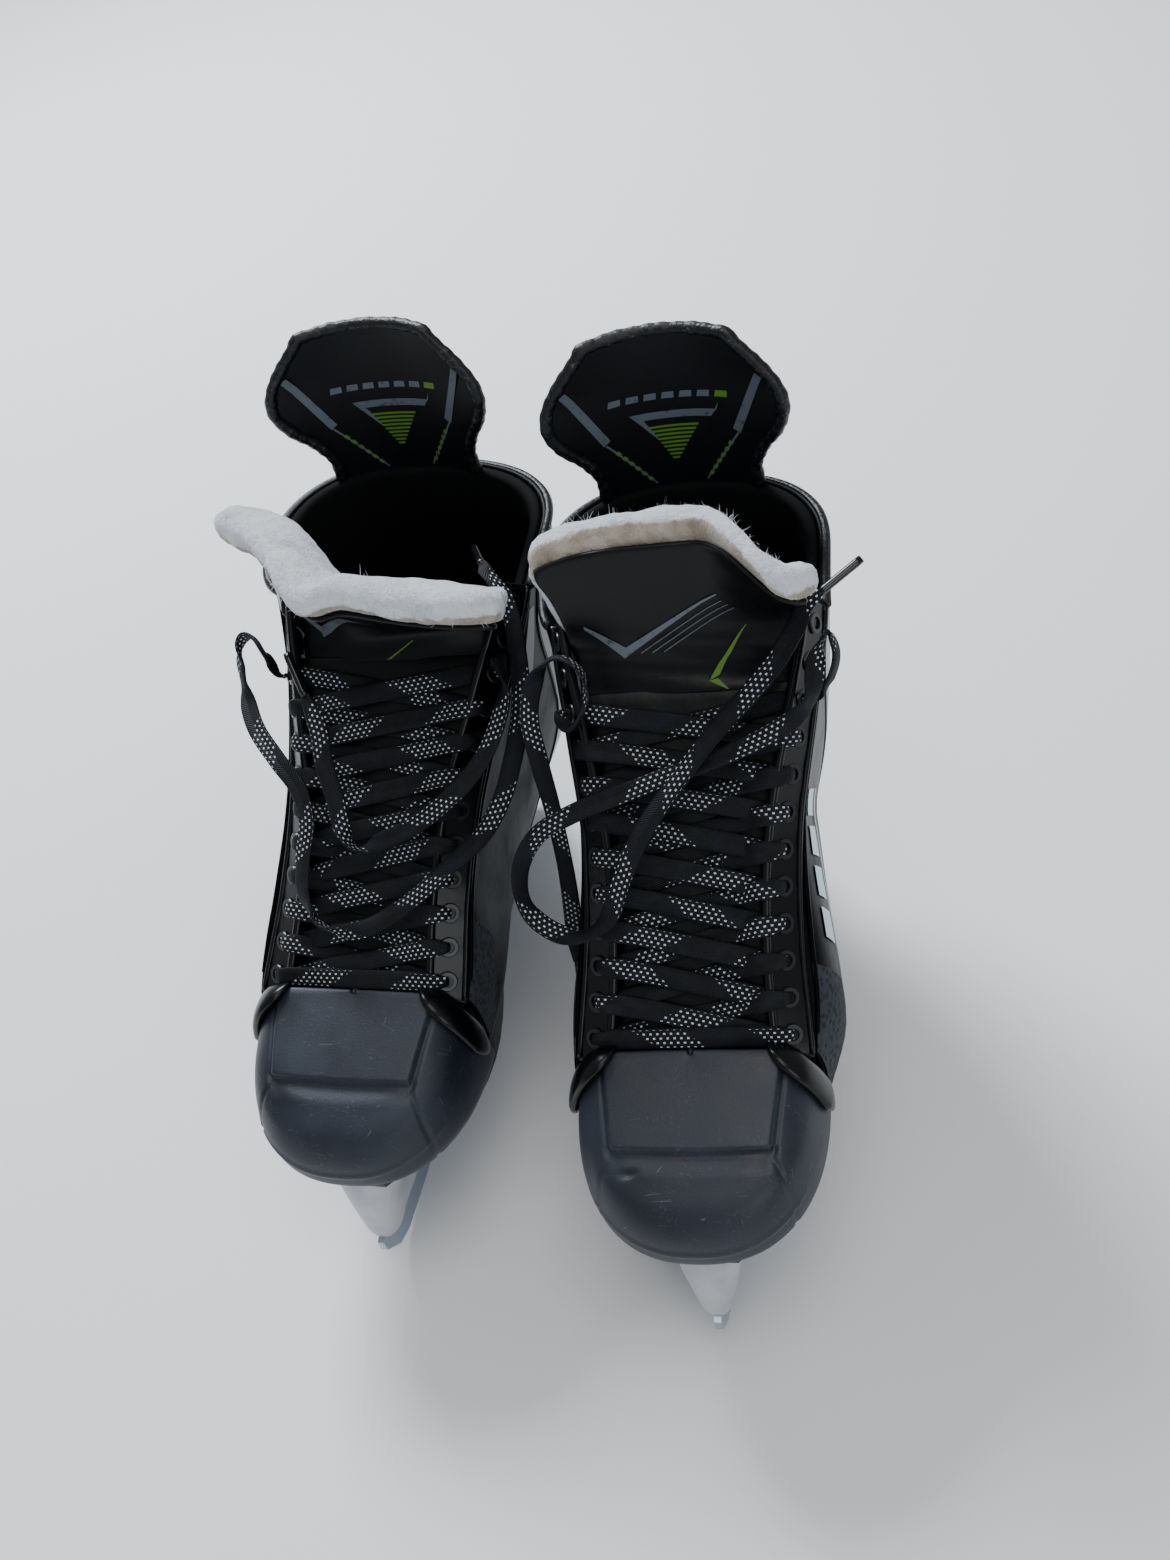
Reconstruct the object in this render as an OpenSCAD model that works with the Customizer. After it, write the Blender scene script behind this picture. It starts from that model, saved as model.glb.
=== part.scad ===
// Pair of ice hockey skates.
// Each skate is drawn in its own frame: x across with the outer side positive, y from toe
// to heel, z up from the ice. The pair then stands side by side with its toes towards -Y,
// and the origin is on the ice under the middle of the pair.

/* [Boot] */
// Length of the boot from toe to heel
boot_length = 297; // [260:1:330]
// Height of the boot from its sole at the heel to the collar at the back
boot_height = 150; // [126:1:180]
// Width of the boot across the ball of the foot
forefoot_width = 102; // [88:1:122]
// Width of the boot across the ankle
ankle_width = 80; // [68:1:96]
// Width of the open collar
collar_width = 112; // [95:1:134]
// Wall of the boot shell
shell_wall = 3; // [2.5:0.1:3.6]
// Thickness of the padded ankle lining
liner_wall = 5; // [4:0.1:6]

/* [Toe cap] */
// Length of the toe cap along the sole
toe_cap_length = 70; // [59:1:84]
// Height of the toe cap's flat top over the sole at its rear
toe_cap_height = 52; // [44:1:56]
// Wall of the toe cap
toe_cap_wall = 2.6; // [2.2:0.1:3.2]

/* [Lacing] */
// Rows of eyelets on each side
eyelet_rows = 12; // [10:1:12]
// Rows that the lace goes through
laced_rows = 10; // [8:1:10]
// Width of the eyelet stay
facing_width = 16; // [14:0.5:18]
// Thickness of the eyelet stay
facing_thick = 2.6; // [2.2:0.1:3.1]
// Gap between the two stays at the toe
throat_gap_low = 64; // [54:1:76]
// Gap between the two stays at the ankle
throat_gap_high = 96; // [80:1:106]
// Bore of an eyelet
eyelet_bore = 5; // [4.6:0.1:6]
// Width of the flat lace
lace_width = 8; // [6.8:0.2:9]
// Thickness of the flat lace
lace_thick = 1.4; // [1.2:0.1:1.6]

/* [Tongue] */
// Thickness of the tongue felt
felt_thick = 11; // [9:0.5:13]
// Thickness of the tongue's outer face
tongue_face_thick = 2; // [1.6:0.1:2.4]
// Height of the tongue above the last eyelet row
tongue_top_height = 58; // [49:1:69]
// Width of the tongue at its top
tongue_top_width = 120; // [100:1:140]
// How far the tongue of the right skate lies forward
right_tongue_lean = 58; // [49:1:69]
// How far the tongue of the left skate lies forward
left_tongue_lean = 22; // [19:1:26]

/* [Tendon guard] */
// Height of the tendon guard above the collar
guard_height = 74; // [62:1:88]
// Width of the tendon guard where it flares most
guard_width = 96; // [80:1:115]
// Width of the tendon guard at its waist
guard_waist = 66; // [56:1:79]
// Thickness of the tendon guard
guard_thick = 5; // [4:0.1:6]

/* [Holder and runner] */
// Height of the sole over the ice at the toe
sole_height = 73; // [66:1:84]
// Extra height of the sole at the heel
heel_lift = 14; // [11.5:0.5:17]
// Length of the holder
holder_length = 268; // [240:1:300]
// Thickness of the outsole plate
outsole_thick = 5; // [4:0.1:6]
// Thickness of the holder's foot plates
foot_plate_thick = 4; // [3.5:0.1:4.8]
// Width of the holder at the blade slot
holder_width = 11; // [9.5:0.5:13]
// Thickness of the steel runner
runner_thick = 3; // [2.6:0.1:3.4]
// Height of steel that shows under the holder
runner_show = 22; // [18:1:26]
// Length of the flat middle of the runner's edge
flat_length = 110; // [92:1:132]
// Diameter of the blade bolts
bolt_d = 5; // [4.2:0.1:6]
// Diameter of a holder rivet's shank
rivet_d = 4; // [3.4:0.1:4.8]

/* [Placing] */
// How far the left skate's open throat lies to its outer side at the ankle
left_throat_shift = 6; // [5:0.5:7.5]
// How far the right skate's open throat lies to its inner side at the ankle
right_throat_shift = 18; // [15:0.5:21.5]
// Distance between the two blades
skate_spacing = 140; // [136:1:168]
// How far the left skate stands ahead of the right one
stagger = 27; // [22:1:32]
// How far each skate's toe turns outward, in degrees
toe_out = 2.4; // [2:0.1:2.9]

/* [Hidden] */

$fn = 48;
eps = 0.01;
// Gap left between pieces that only lie against each other
seat_gap = 0.3;
// Gap round a bolt or rivet in its bore
bore_gap = 0.1;

// ---- Curves ----

function mix(a, b, t) = a + (b - a) * t;
function unit(v) = v / norm(v);
function flat_of(rows) = [for (row = rows) each row];

// A smooth curve through evenly spaced values, at t from 0 to 1
function curve_at(list, t) =
  let (n = len(list) - 1)
  let (p = min(max(t, 0), 1) * n)
  let (i = min(floor(p), n - 1))
  let (f = p - i)
  let (a = list[max(i - 1, 0)], b = list[i], c = list[i + 1], d = list[min(i + 2, n)])
  0.5 * (2 * b + (c - a) * f + (2 * a - 5 * b + 4 * c - d) * f * f + (3 * b - a - 3 * c + d) * f * f * f);

// ---- Throat: the line that the lacing climbs, from the toe cap to the ankle ----

heel_z = sole_height + heel_lift;
collar_z = heel_z + boot_height;
throat_start = [toe_cap_length - 4, sole_height + toe_cap_height - 3];
throat_end = [0.633 * boot_length, collar_z + 6];
throat_length = norm(throat_end - throat_start);
throat_dir = unit(throat_end - throat_start);
throat_normal = [-throat_dir[1], throat_dir[0]];
throat_dir3 = [0, throat_dir[0], throat_dir[1]];
throat_normal3 = [0, throat_normal[0], throat_normal[1]];

// Half of the gap between the stays, narrowest a third of the way up
function throat_half(s) = curve_at([throat_gap_low / 2, throat_gap_low / 2 - 2, throat_gap_low / 2,
  mix(throat_gap_low, throat_gap_high, 0.5) / 2, throat_gap_high / 2], s);
// How far the stay tilts down to the side
function facing_tilt(s) = mix(24, 66, s);
// Point at lateral x, share s of the throat and height n over it
function throat_base(x, s, n) =
  let (p = throat_start + throat_dir * throat_length * s + throat_normal * n)
  [x, p[0], p[1]];
// The same point, moved with the throat where the open boot sits askew
function throat_point(x, s, n) = throat_base(x + $throat_shift * min(max(s, 0), 1), s, n);
// Point on a stay: d across it from its inner edge, h over its outer face
function facing_point(side, s, d, h) =
  let (b = facing_tilt(s))
  throat_point(side * (throat_half(s) + d * cos(b) + h * sin(b)), s, -d * sin(b) + h * cos(b));

// ---- Boot stations: from the rear of the toe cap round the heel to the collar ----

// The line along the bottom and up the heel: y as a share of the length, z over sole or heel
back_line = [
  [toe_cap_length, sole_height],
  [0.337 * boot_length, sole_height],
  [0.471 * boot_length, sole_height + 0.12 * heel_lift],
  [0.623 * boot_length, sole_height + 0.52 * heel_lift],
  [0.774 * boot_length, sole_height + 0.9 * heel_lift],
  [0.905 * boot_length, heel_z],
  [0.980 * boot_length, heel_z + 0.13 * boot_height],
  [1.000 * boot_length, heel_z + 0.38 * boot_height],
  [0.972 * boot_length, heel_z + 0.68 * boot_height],
  [0.956 * boot_length, collar_z]];
// Share of the throat that each station reaches
throat_share = [0, 0.12, 0.27, 0.42, 0.56, 0.69, 0.80, 0.88, 0.95, 1];
shell_half = [forefoot_width / 2 - 1, forefoot_width / 2, forefoot_width / 2 - 3, mix(forefoot_width, ankle_width, 0.7) / 2,
  ankle_width / 2 + 1, ankle_width / 2, ankle_width / 2 + 1, mix(ankle_width, collar_width, 0.3) / 2,
  mix(ankle_width, collar_width, 0.62) / 2, collar_width / 2];
// How square the section is at the bottom or back
shell_square = [4.2, 4, 3.6, 3.2, 3, 2.6, 2.3, 2.2, 2.3, 2.4];

station_count = 16;
side_steps = 3;
turn_steps = 5;

// One section of the shell runs from the outer-side stay round to the inner-side one. share says
// where along the boot it lies, and deep how far in from the outer face.
function shell_half_section(side, share, deep) =
  let (s = curve_at(throat_share, share))
  let (edge = facing_point(side, s, facing_width, -deep))
  let (back = curve_at(back_line, share))
  let (across = unit([edge[1], edge[2]] - back))
  let (low = back + across * deep)
  let (long = norm([edge[1], edge[2]] - low))
  let (w = max(curve_at(shell_half, share) - deep, side * edge[0] - 0.5))
  let (square = curve_at(shell_square, share))
  let (wide_at = 0.42)
  let (half = concat(
    [for (k = [0:side_steps])
      let (a = 90 * k / side_steps)
      [mix(side * edge[0], w, sin(a)), wide_at * long * (1 - cos(a))]],
    [for (k = [1:turn_steps])
      let (a = 90 * k / turn_steps)
      [w * pow(max(cos(a), 0), 2 / square), long * (wide_at + (1 - wide_at) * pow(sin(a), 2 / square))]]))
  [for (h = half) let (p = low + across * (long - h[1])) [side * h[0], p[0], p[1]]];

function shell_section(share, deep) =
  let (inner_side = shell_half_section(-1, share, deep))
  concat(shell_half_section(1, share, deep), [for (k = [len(inner_side) - 2:-1:0]) inner_side[k]]);

function shell_rows(first, last, deep) =
  [for (k = [0:station_count]) if (k / station_count >= first && k / station_count <= last)
    shell_section(k / station_count, deep)];

// ---- Solids from grids and routes ----

function quad(a, b, c, d) = [[a, b, c], [a, c, d]];

// A closed panel between an outer and an inner grid of points
module panel(outer, inner) {
  rows = len(outer);
  cols = len(outer[0]);
  n = rows * cols;
  i_mid = floor(rows / 2) - 1;
  j_mid = floor(cols / 2) - 1;
  facing = cross(outer[i_mid][j_mid + 1] - outer[i_mid][j_mid], outer[i_mid + 1][j_mid] - outer[i_mid][j_mid])
    * (outer[i_mid][j_mid] - inner[i_mid][j_mid]);
  last = rows - 1;
  far = cols - 1;
  faces = flat_of([
    for (i = [0:rows - 2], j = [0:cols - 2])
      quad(i * cols + j, i * cols + j + 1, (i + 1) * cols + j + 1, (i + 1) * cols + j),
    for (i = [0:rows - 2], j = [0:cols - 2])
      quad(n + i * cols + j, n + (i + 1) * cols + j, n + (i + 1) * cols + j + 1, n + i * cols + j + 1),
    for (i = [0:rows - 2])
      quad(i * cols, (i + 1) * cols, n + (i + 1) * cols, n + i * cols),
    for (i = [0:rows - 2])
      quad((i + 1) * cols + far, i * cols + far, n + i * cols + far, n + (i + 1) * cols + far),
    for (j = [0:cols - 2])
      quad(j + 1, j, n + j, n + j + 1),
    for (j = [0:cols - 2])
      quad(last * cols + j, last * cols + j + 1, n + last * cols + j + 1, n + last * cols + j)]);
  polyhedron(concat(flat_of(outer), flat_of(inner)),
    facing > 0 ? [for (f = faces) [f[2], f[1], f[0]]] : faces, convexity = 8);
}

// A closed strip or tube through rings of points
module skin(rings) {
  sides = len(rings[0]);
  count = len(rings);
  faces = concat(
    flat_of([for (i = [0:count - 2], j = [0:sides - 1])
      let (k = (j + 1) % sides)
      quad(i * sides + j, i * sides + k, (i + 1) * sides + k, (i + 1) * sides + j)]),
    [for (j = [1:sides - 2]) [0, j + 1, j]],
    [for (j = [1:sides - 2]) let (e = (count - 1) * sides) [e, e + j, e + j + 1]]);
  polyhedron(flat_of(rings), faces, convexity = 10);
}

// Direction of a route at point i
function route_dir(route, i) =
  unit(route[min(i + 1, len(route) - 1)] - route[max(i - 1, 0)]);

// Flat ring of a lace: wide across lay, thin along the other way
function lace_ring(p, dir, lay, w, t, sides) =
  let (across = unit(lay - dir * (lay * dir)))
  let (up = cross(dir, across))
  sides == 4
    ? [for (c = [[-1, -1], [-1, 1], [1, 1], [1, -1]]) p + across * c[0] * w / 2 + up * c[1] * t / 2]
    : [for (k = [0:sides - 1])
        let (a = -360 * (k + 0.5) / sides)
        p + (across * cos(a) * w + up * sin(a) * t) / 2 / cos(180 / sides)];

// ---- Boot ----

module quarter_shell() {
  color("#15181c") panel(shell_rows(0, 1, 0), shell_rows(0, 1, shell_wall));
}

module ankle_liner() {
  deep = shell_wall + seat_gap;
  color("#24262b") panel(shell_rows(0.48, 1, deep), shell_rows(0.48, 1, deep + liner_wall));
}

// Rows of the toe cap from its lower edge up to the middle of its flat top:
// half width, front y, and z over the sole at the front and at the rear
toe_rows = [
  [forefoot_width / 2 - 3, 4, 0, 0],
  [forefoot_width / 2 - 1, 0.5, 0.14, 0.14],
  [forefoot_width / 2 - 1.5, 1.5, 0.36, 0.46],
  [forefoot_width / 2 - 5, 8, 0.56, 0.74],
  [forefoot_width / 2 - 12, 17, 0.67, 0.93],
  [forefoot_width / 2 - 19, 25, 0.74, 0.99],
  [forefoot_width / 2 - 35, 42, 0.86, 1],
  [20, 54, 0.93, 1],
  [3, 62, 0.97, 1]];
toe_turn = 14;

// The toe cap ends on the plane through the first boot station
function toe_rear_y(z) =
  mix(back_line[0][0], throat_start[0], (z - sole_height) / (throat_start[1] - sole_height)) - seat_gap;

function toe_grid(deep) =
  [for (k = [0:len(toe_rows) - 1])
    let (row = toe_rows[k])
    let (drop = k == 0 ? 0 : deep)
    let (w = max(row[0] - deep, 1.5))
    let (low = sole_height + row[2] * toe_cap_height - drop)
    let (high = sole_height + row[3] * toe_cap_height - drop)
    let (rear = toe_rear_y(high))
    let (front = row[1] + deep)
    let (square = mix(2.3, 3, k / 8))
    [for (j = [0:toe_turn])
      let (a = 180 * j / toe_turn)
      let (reach = pow(max(sin(a), 0), 2 / square))
      [w * sign(cos(a)) * pow(abs(cos(a)), 2 / square), rear - (rear - front) * reach, mix(high, low, reach)]]];

module toe_cap() {
  color("#343b48") panel(toe_grid(0), toe_grid(toe_cap_wall));
}

// Half width of a sole plate at share t from toe to heel, less a margin
sole_half = [14, 35, 44, 47, 45, 40, 34, 31, 31, 33, 33, 30, 17];
module sole_plan(front, rear, margin, depth) {
  scale_w = forefoot_width / 102;
  steps = 24;
  side = [for (k = [0:steps])
    let (t = k / steps)
    [curve_at(sole_half, t) * scale_w - margin, mix(front, rear, t)]];
  linear_extrude(depth)
    polygon(concat(side, [for (k = [steps:-1:0]) [-side[k][0], side[k][1]]]));
}

// Extrudes an outline in y and z across x
module across(width) {
  rotate([90, 0, 90])
    translate([0, 0, -width / 2])
      linear_extrude(width) children();
}

// The bottom line of the shell as a list of y and z, raised by lift
function bottom_line(lift) = concat([[0, sole_height + lift]],
  [for (k = [0:station_count]) if (k / station_count <= 5 / 9) curve_at(back_line, k / station_count) + [0, lift]],
  [[boot_length, heel_z + lift]]);

module sole_layer(lift, thick, front, rear, margin) {
  line = bottom_line(lift);
  intersection() {
    across(forefoot_width + 20)
      polygon(concat(line, [for (k = [len(line) - 1:-1:0]) line[k] + [0, thick]]));
    translate([0, 0, sole_height - 20]) sole_plan(front, rear, margin, heel_lift + 60);
  }
}

outsole_front = 7;
outsole_rear = 0.915 * boot_length;
module outsole() {
  color("#1a1c20") difference() {
    sole_layer(-outsole_thick, outsole_thick, outsole_front, outsole_rear, 0);
    rivet_bores();
    for (p = rivet_places) translate([p[0], p[1], p[2] + foot_plate_thick + outsole_thick - 1.2])
      cylinder(d = rivet_d + 3 + 2 * bore_gap, h = 10);
  }
}

// Layers on the sole follow the inside of the shell, and lie on the lining at the heel
sole_cols = [6:10];
sole_first = 1;
sole_last = 9;
function sole_rows(above) =
  [for (k = [sole_first:sole_last])
    let (share = k / station_count)
    let (lined = min(max((share - 0.25) / 0.18, 0), 1))
    let (row = shell_section(share, shell_wall + seat_gap + lined * (liner_wall + seat_gap) + above))
    [for (j = sole_cols) row[j]]];

board_thick = 2;
module insole_board() {
  color("#8a7a5c") panel(sole_rows(0), sole_rows(board_thick));
}

footbed_thick = 4;
module footbed() {
  low = board_thick + seat_gap;
  color("#3c4250") panel(sole_rows(low), sole_rows(low + footbed_thick));
}

// ---- Stays, eyelets and laced lace ----

facing_steps = 12;
module facing_plate(side) {
  panel(
    [for (k = [0:facing_steps]) [for (d = [0, 0.5, 1]) facing_point(side, k / facing_steps, d * facing_width, 0)]],
    [for (k = [0:facing_steps]) [for (d = [0, 0.5, 1])
      facing_point(side, k / facing_steps, d * facing_width, -facing_thick)]]);
}

// Distance of the eyelets from the stay's inner edge
eyelet_in = 8;
function eyelet_share(row) = (row + 0.5) / eyelet_rows;

// Puts children on an eyelet's place with z along its bore
module at_eyelet(side, row) {
  s = eyelet_share(row);
  b = facing_tilt(s);
  translate(facing_point(side, s, eyelet_in, 0))
    multmatrix(frame_of([sin(b) * side, 0, 0] + cos(b) * throat_normal3, throat_dir3))
      children();
}

// Turning matrix that takes z to the first direction and x to the second
function frame_of(up, along) =
  let (side = cross(up, along))
  [[along[0], side[0], up[0], 0], [along[1], side[1], up[1], 0], [along[2], side[2], up[2], 0], [0, 0, 0, 1]];

module facings() {
  color("#101215") difference() {
    for (side = [-1, 1]) facing_plate(side);
    for (side = [-1, 1], row = [0:eyelet_rows - 1]) at_eyelet(side, row)
      cylinder(d = eyelet_bore + 1.2, h = 20, center = true);
  }
}

module eyelets() {
  rim = 0.5;
  color("#2c2e31") for (side = [-1, 1], row = [0:eyelet_rows - 1]) at_eyelet(side, row)
    rotate_extrude($fn = 24) polygon([
      [eyelet_bore / 2, -facing_thick - 0.2], [eyelet_bore / 2 + 0.55, -facing_thick - 0.2],
      [eyelet_bore / 2 + 0.55, rim], [eyelet_bore / 2 + 1.8, rim], [eyelet_bore / 2 + 1.4, rim + 0.6],
      [eyelet_bore / 2, rim + 0.6]]);
}

// Heights of the lace: under a stay, on the tongue, over the other strand, over a stay
lace_low = -facing_thick - 0.9;
lace_top = -1.4;
tongue_gap = -facing_thick - 2.2;
// Where the lace ends come out, over the face of the stay
exit_height = 2.4;

// One crossing from a row on one side to the next row on the other side
function crossing(side, row, over) =
  let (a = eyelet_share(row), b = eyelet_share(row + 1))
  let (wa = throat_half(a), wb = throat_half(b))
  let (mid = over ? lace_top : lace_low)
  [facing_point(side, a, eyelet_in, -facing_thick - 1.6),
    facing_point(side, a, eyelet_in - 3.4, -facing_thick - 1.5),
    throat_point(side * (wa - 1), a, lace_low - 0.3),
    throat_point(side * 0.6 * wa, mix(a, b, 0.2), mid),
    throat_point(-side * 0.6 * wb, mix(a, b, 0.8), mid),
    throat_point(-side * (wb - 3), mix(a, b, 0.95), 0.4),
    facing_point(-side, b, 2.5, 1.9),
    facing_point(-side, b, eyelet_in - 2.2, 2.2),
    facing_point(-side, b, eyelet_in, 0.6)];

// The last crossing stays under both stays and comes out through its eyelet
function last_crossing(side, row, over) =
  let (b = eyelet_share(row + 1), first = crossing(side, row, over))
  concat([for (k = [0:4]) first[k]],
    [throat_point(-side * (throat_half(b) - 1), b, lace_low - 0.3),
      facing_point(-side, b, eyelet_in - 3.4, -facing_thick - 1.5),
      facing_point(-side, b, eyelet_in, -facing_thick - 1.6),
      facing_point(-side, b, eyelet_in, 0),
      facing_point(-side, b, eyelet_in, exit_height)]);

// Half of the lace, from the first row on one side up to the last laced row
function lace_half(side) = flat_of([for (row = [0:laced_rows - 2])
  let (from = row % 2 == 0 ? side : -side, over = (row % 2 == 0) == (side > 0))
  row == laced_rows - 2 ? last_crossing(from, row, over) : crossing(from, row, over)]);

function reverse(list) = [for (k = [len(list) - 1:-1:0]) list[k]];

lace_start = eyelet_share(0);
function first_bar() = [for (side = [-1, 1]) each
  let (w = throat_half(lace_start))
  let (points = [facing_point(side, lace_start, eyelet_in, 0.6), facing_point(side, lace_start, eyelet_in - 2.2, 2.2),
    facing_point(side, lace_start, 2.5, 1.9), throat_point(side * (w - 6), lace_start, 0.4)])
  side < 0 ? points : reverse(points)];

function lace_route() = concat(reverse(lace_half(-1)), first_bar(), lace_half(1));

// The lace gathers to pass through an eyelet
function lace_w(p) = min([for (side = [-1, 1], row = [0:laced_rows - 1])
  norm(p - facing_point(side, eyelet_share(row), eyelet_in, -facing_thick / 2))]) < 3.2 ? 2.6 : lace_width;

module lace() {
  route = lace_route();
  color("#1b2230") skin([for (i = [0:len(route) - 1])
    lace_ring(route[i], route_dir(route, i), throat_dir3, lace_w(route[i]), lace_thick, 4)]);
}

// ---- Free lace ends ----

// Ring of the free lace: thicker than the laced run, because it lies half twisted
end_thick = 2.4;
end_sides = 8;
// Points on the way: across from the skate's middle, up along the throat, and over its plane
function throat_route(points) =
  [for (p = points) throat_base(p[0], p[1] / throat_length, p[2])];

// The right skate is drawn mirrored, so its points are too
function mirrored(points) = [for (p = points) [-p[0], p[1], p[2]]];

left_outer_points = [[62, 142, 8], [65, 152, 8], [62, 160, 9], [58, 150, 13], [54, 134, 14], [40, 124, 11],
  [20, 116, 9], [0, 110, 9], [-22, 103, 9], [-40, 97, 8], [-55, 89, 7], [-63, 76, 5], [-62, 62, 5],
  [-52, 52, 6], [-39, 49, 8], [-28, 56, 9], [-21, 71, 12], [-12, 88, 14], [1, 105, 14], [17, 124, 13],
  [31, 138, 11], [42, 150, 9], [50, 162, 8], [54, 170, 7], [60, 175, 6]];
left_inner_points = [[-38, 130, 8], [-32, 140, 9], [-33, 152, 9], [-43, 158, 8], [-52, 151, 5], [-57, 136, 0],
  [-56, 118, -8], [-54, 97, -18], [-54, 72, -34], [-56, 48, -50], [-58, 30, -62]];
right_outer_points = mirrored([[-37, 144, 8], [-42, 151, 8], [-48, 152, 5], [-53, 145, 0], [-53, 131, -4], [-45, 114, 2],
  [-32, 100, 8], [-22, 88, 9], [-18, 74, 9], [-20, 58, 9], [-20, 44, 9], [-14, 32, 8], [-3, 28, 8], [11, 31, 8],
  [30, 43, 9], [46, 57, 9], [60, 70, 8], [68, 85, 7], [72, 101, 5], [74, 117, 2], [74, 132, 1], [73, 147, 3],
  [72, 159, 7], [68, 169, 10], [62, 176, 8], [58, 180, 2]]);
right_inner_points = mirrored([[67, 140, 8], [70, 128, 9], [66, 112, 10], [60, 100, 10], [50, 88, 10], [32, 74, 9],
  [15, 66, 9], [5, 63, 10], [0, 70, 12], [-3, 84, 13], [-8, 99, 13], [-11, 113, 12], [-18, 127, 10]]);

// The eyelet that a lace end comes out of, and the first point straight out of it
function end_exit(side) = [for (h = [exit_height, exit_height + 3])
  facing_point(side, eyelet_share(laced_rows - 1), eyelet_in, h)];

// Rings are set along a smooth curve through the route
function end_route(side, points) =
  let (marks = concat(end_exit(side), throat_route(points)))
  let (count = 3 * (len(marks) - 1))
  [for (k = [0:count]) curve_at(marks, k / count)];

// The way that the lace is wide at each point from k on, carried along so that it never flips over
function wide_ways(route, k, last) =
  let (dir = route_dir(route, k))
  let (way = unit(last - dir * (last * dir)))
  k == len(route) - 1 ? [way] : concat([way], wide_ways(route, k + 1, way));

module lace_end(side, points) {
  route = end_route(side, points);
  ways = wide_ways(route, 0, throat_dir3);
  color("#1b2230") skin([for (i = [0:len(route) - 1])
    lace_ring(route[i], route_dir(route, i), ways[i], i == 0 ? 2.6 : lace_width,
      i == 0 ? lace_thick : end_thick, end_sides)]);
}

aglet_d = 3.6;
aglet_length = 20;
module aglet(side, points) {
  route = end_route(side, points);
  last = len(route) - 1;
  dir = unit(route[last] - route[last - 1]);
  color("#1c1e22") translate(route[last])
    multmatrix(frame_of(dir, unit(cross(dir, throat_normal3))))
      cylinder(d = aglet_d, h = aglet_length);
}

// ---- Tongue ----

tongue_pivot_share = 0.895;
tongue_low = -0.02;
// Sag of the tongue to the sides, in mm over its half width
function tongue_sag(q, depth) = depth * pow(abs(q), 2);
tongue_cols = 8;

function tongue_grid(n, from, to, rows) =
  [for (k = [0:rows])
    let (s = mix(from, to, k / rows))
    let (w = throat_half(s) - 1)
    [for (j = [0:tongue_cols])
      let (q = 2 * j / tongue_cols - 1)
      throat_point(q * w, s, n - tongue_sag(q, 0.8))]];

tongue_seam = 1.4 / throat_length;
module tongue_face() {
  top = tongue_gap;
  color("#0e1013") panel(tongue_grid(top, tongue_low, tongue_pivot_share - tongue_seam, 8),
    tongue_grid(top - tongue_face_thick, tongue_low, tongue_pivot_share - tongue_seam, 8));
}

module tongue_felt() {
  top = tongue_gap - tongue_face_thick;
  color("#c9c6c0") panel(tongue_grid(top, tongue_low, tongue_pivot_share - tongue_seam, 8),
    tongue_grid(top - felt_thick, tongue_low, tongue_pivot_share - tongue_seam, 8));
}

// The top of the tongue in its own frame: x across, y up the tongue, z out of its face. It
// leaves the throat where that lies askew, and comes back over the middle of the boot.
function tongue_pivot() = throat_point(0, tongue_pivot_share, tongue_gap);
top_rows = 7;
top_cols = 10;
// Half width of the tongue's top on its way up, as shares of its full half width
top_outline = [0.62, 0.63, 0.7, 0.86, 1, 0.99];

function top_grid(z) =
  [for (k = [0:top_rows])
    let (t = k / top_rows)
    let (w = tongue_top_width / 2 * curve_at(top_outline, t))
    [for (j = [0:top_cols])
      let (q = 2 * j / top_cols - 1)
      [q * w - $throat_shift * tongue_pivot_share * t,
        1.4 + (tongue_top_height - 1.4) * t * (1 - 0.2 * t * pow(abs(q), 2.4)),
        z - tongue_sag(q, 2 + 4 * t)]]];

module tongue_top_place(lean) {
  translate(tongue_pivot())
    rotate([lean, 0, 0])
      multmatrix(frame_of(throat_normal3, [1, 0, 0]))
        children();
}

module tongue_top_face(lean) {
  color("#0e1013") tongue_top_place(lean) panel(top_grid(0), top_grid(-tongue_face_thick));
}

module tongue_top_felt(lean) {
  color("#d9dbdd") tongue_top_place(lean)
    panel(top_grid(-tongue_face_thick), top_grid(-tongue_face_thick - felt_thick));
}

// ---- Tendon guard ----

guard_rows = 8;
guard_cols = 8;
guard_gap = 0.8;
guard_base = collar_z + 1;
// Half width on the way up
guard_outline = [guard_waist / 2, guard_waist / 2, guard_waist / 2 + 4, mix(guard_waist, guard_width, 0.72) / 2, guard_width / 2,
  guard_width / 2 - 2, guard_width / 2 - 10, guard_width / 2 - 19];
guard_back = 0.956 * boot_length;

function guard_grid(deep) =
  [for (k = [0:guard_rows])
    let (t = k / guard_rows)
    let (w = curve_at(guard_outline, t))
    let (bend = curve_at([9, 9, 11, 15, 17, 15, 12, 9], t))
    let (lean = 6 * t * t - 9 * t)
    [for (j = [0:guard_cols])
      let (q = 2 * j / guard_cols - 1)
      [q * (w - deep * 0.12 * abs(q)), guard_back + lean - deep - bend * pow(abs(q), 2.2),
        guard_base + guard_gap + guard_height * t]]];

module tendon_guard() {
  color("#14171d") panel(guard_grid(0), guard_grid(guard_thick));
}

// ---- Holder and runner ----

holder_front = 20;
holder_rear = holder_front + holder_length;
slot_z = runner_show;
front_plate = [holder_front, holder_front + 0.36 * holder_length];
rear_plate = [holder_rear - 0.32 * holder_length, holder_rear];
front_plate_z = sole_height - outsole_thick - foot_plate_thick;
rear_plate_z = heel_z - outsole_thick - foot_plate_thick;
slot_depth = 16;
bridge_top = slot_z + slot_depth + 3;
tower_thick = holder_width;

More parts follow.
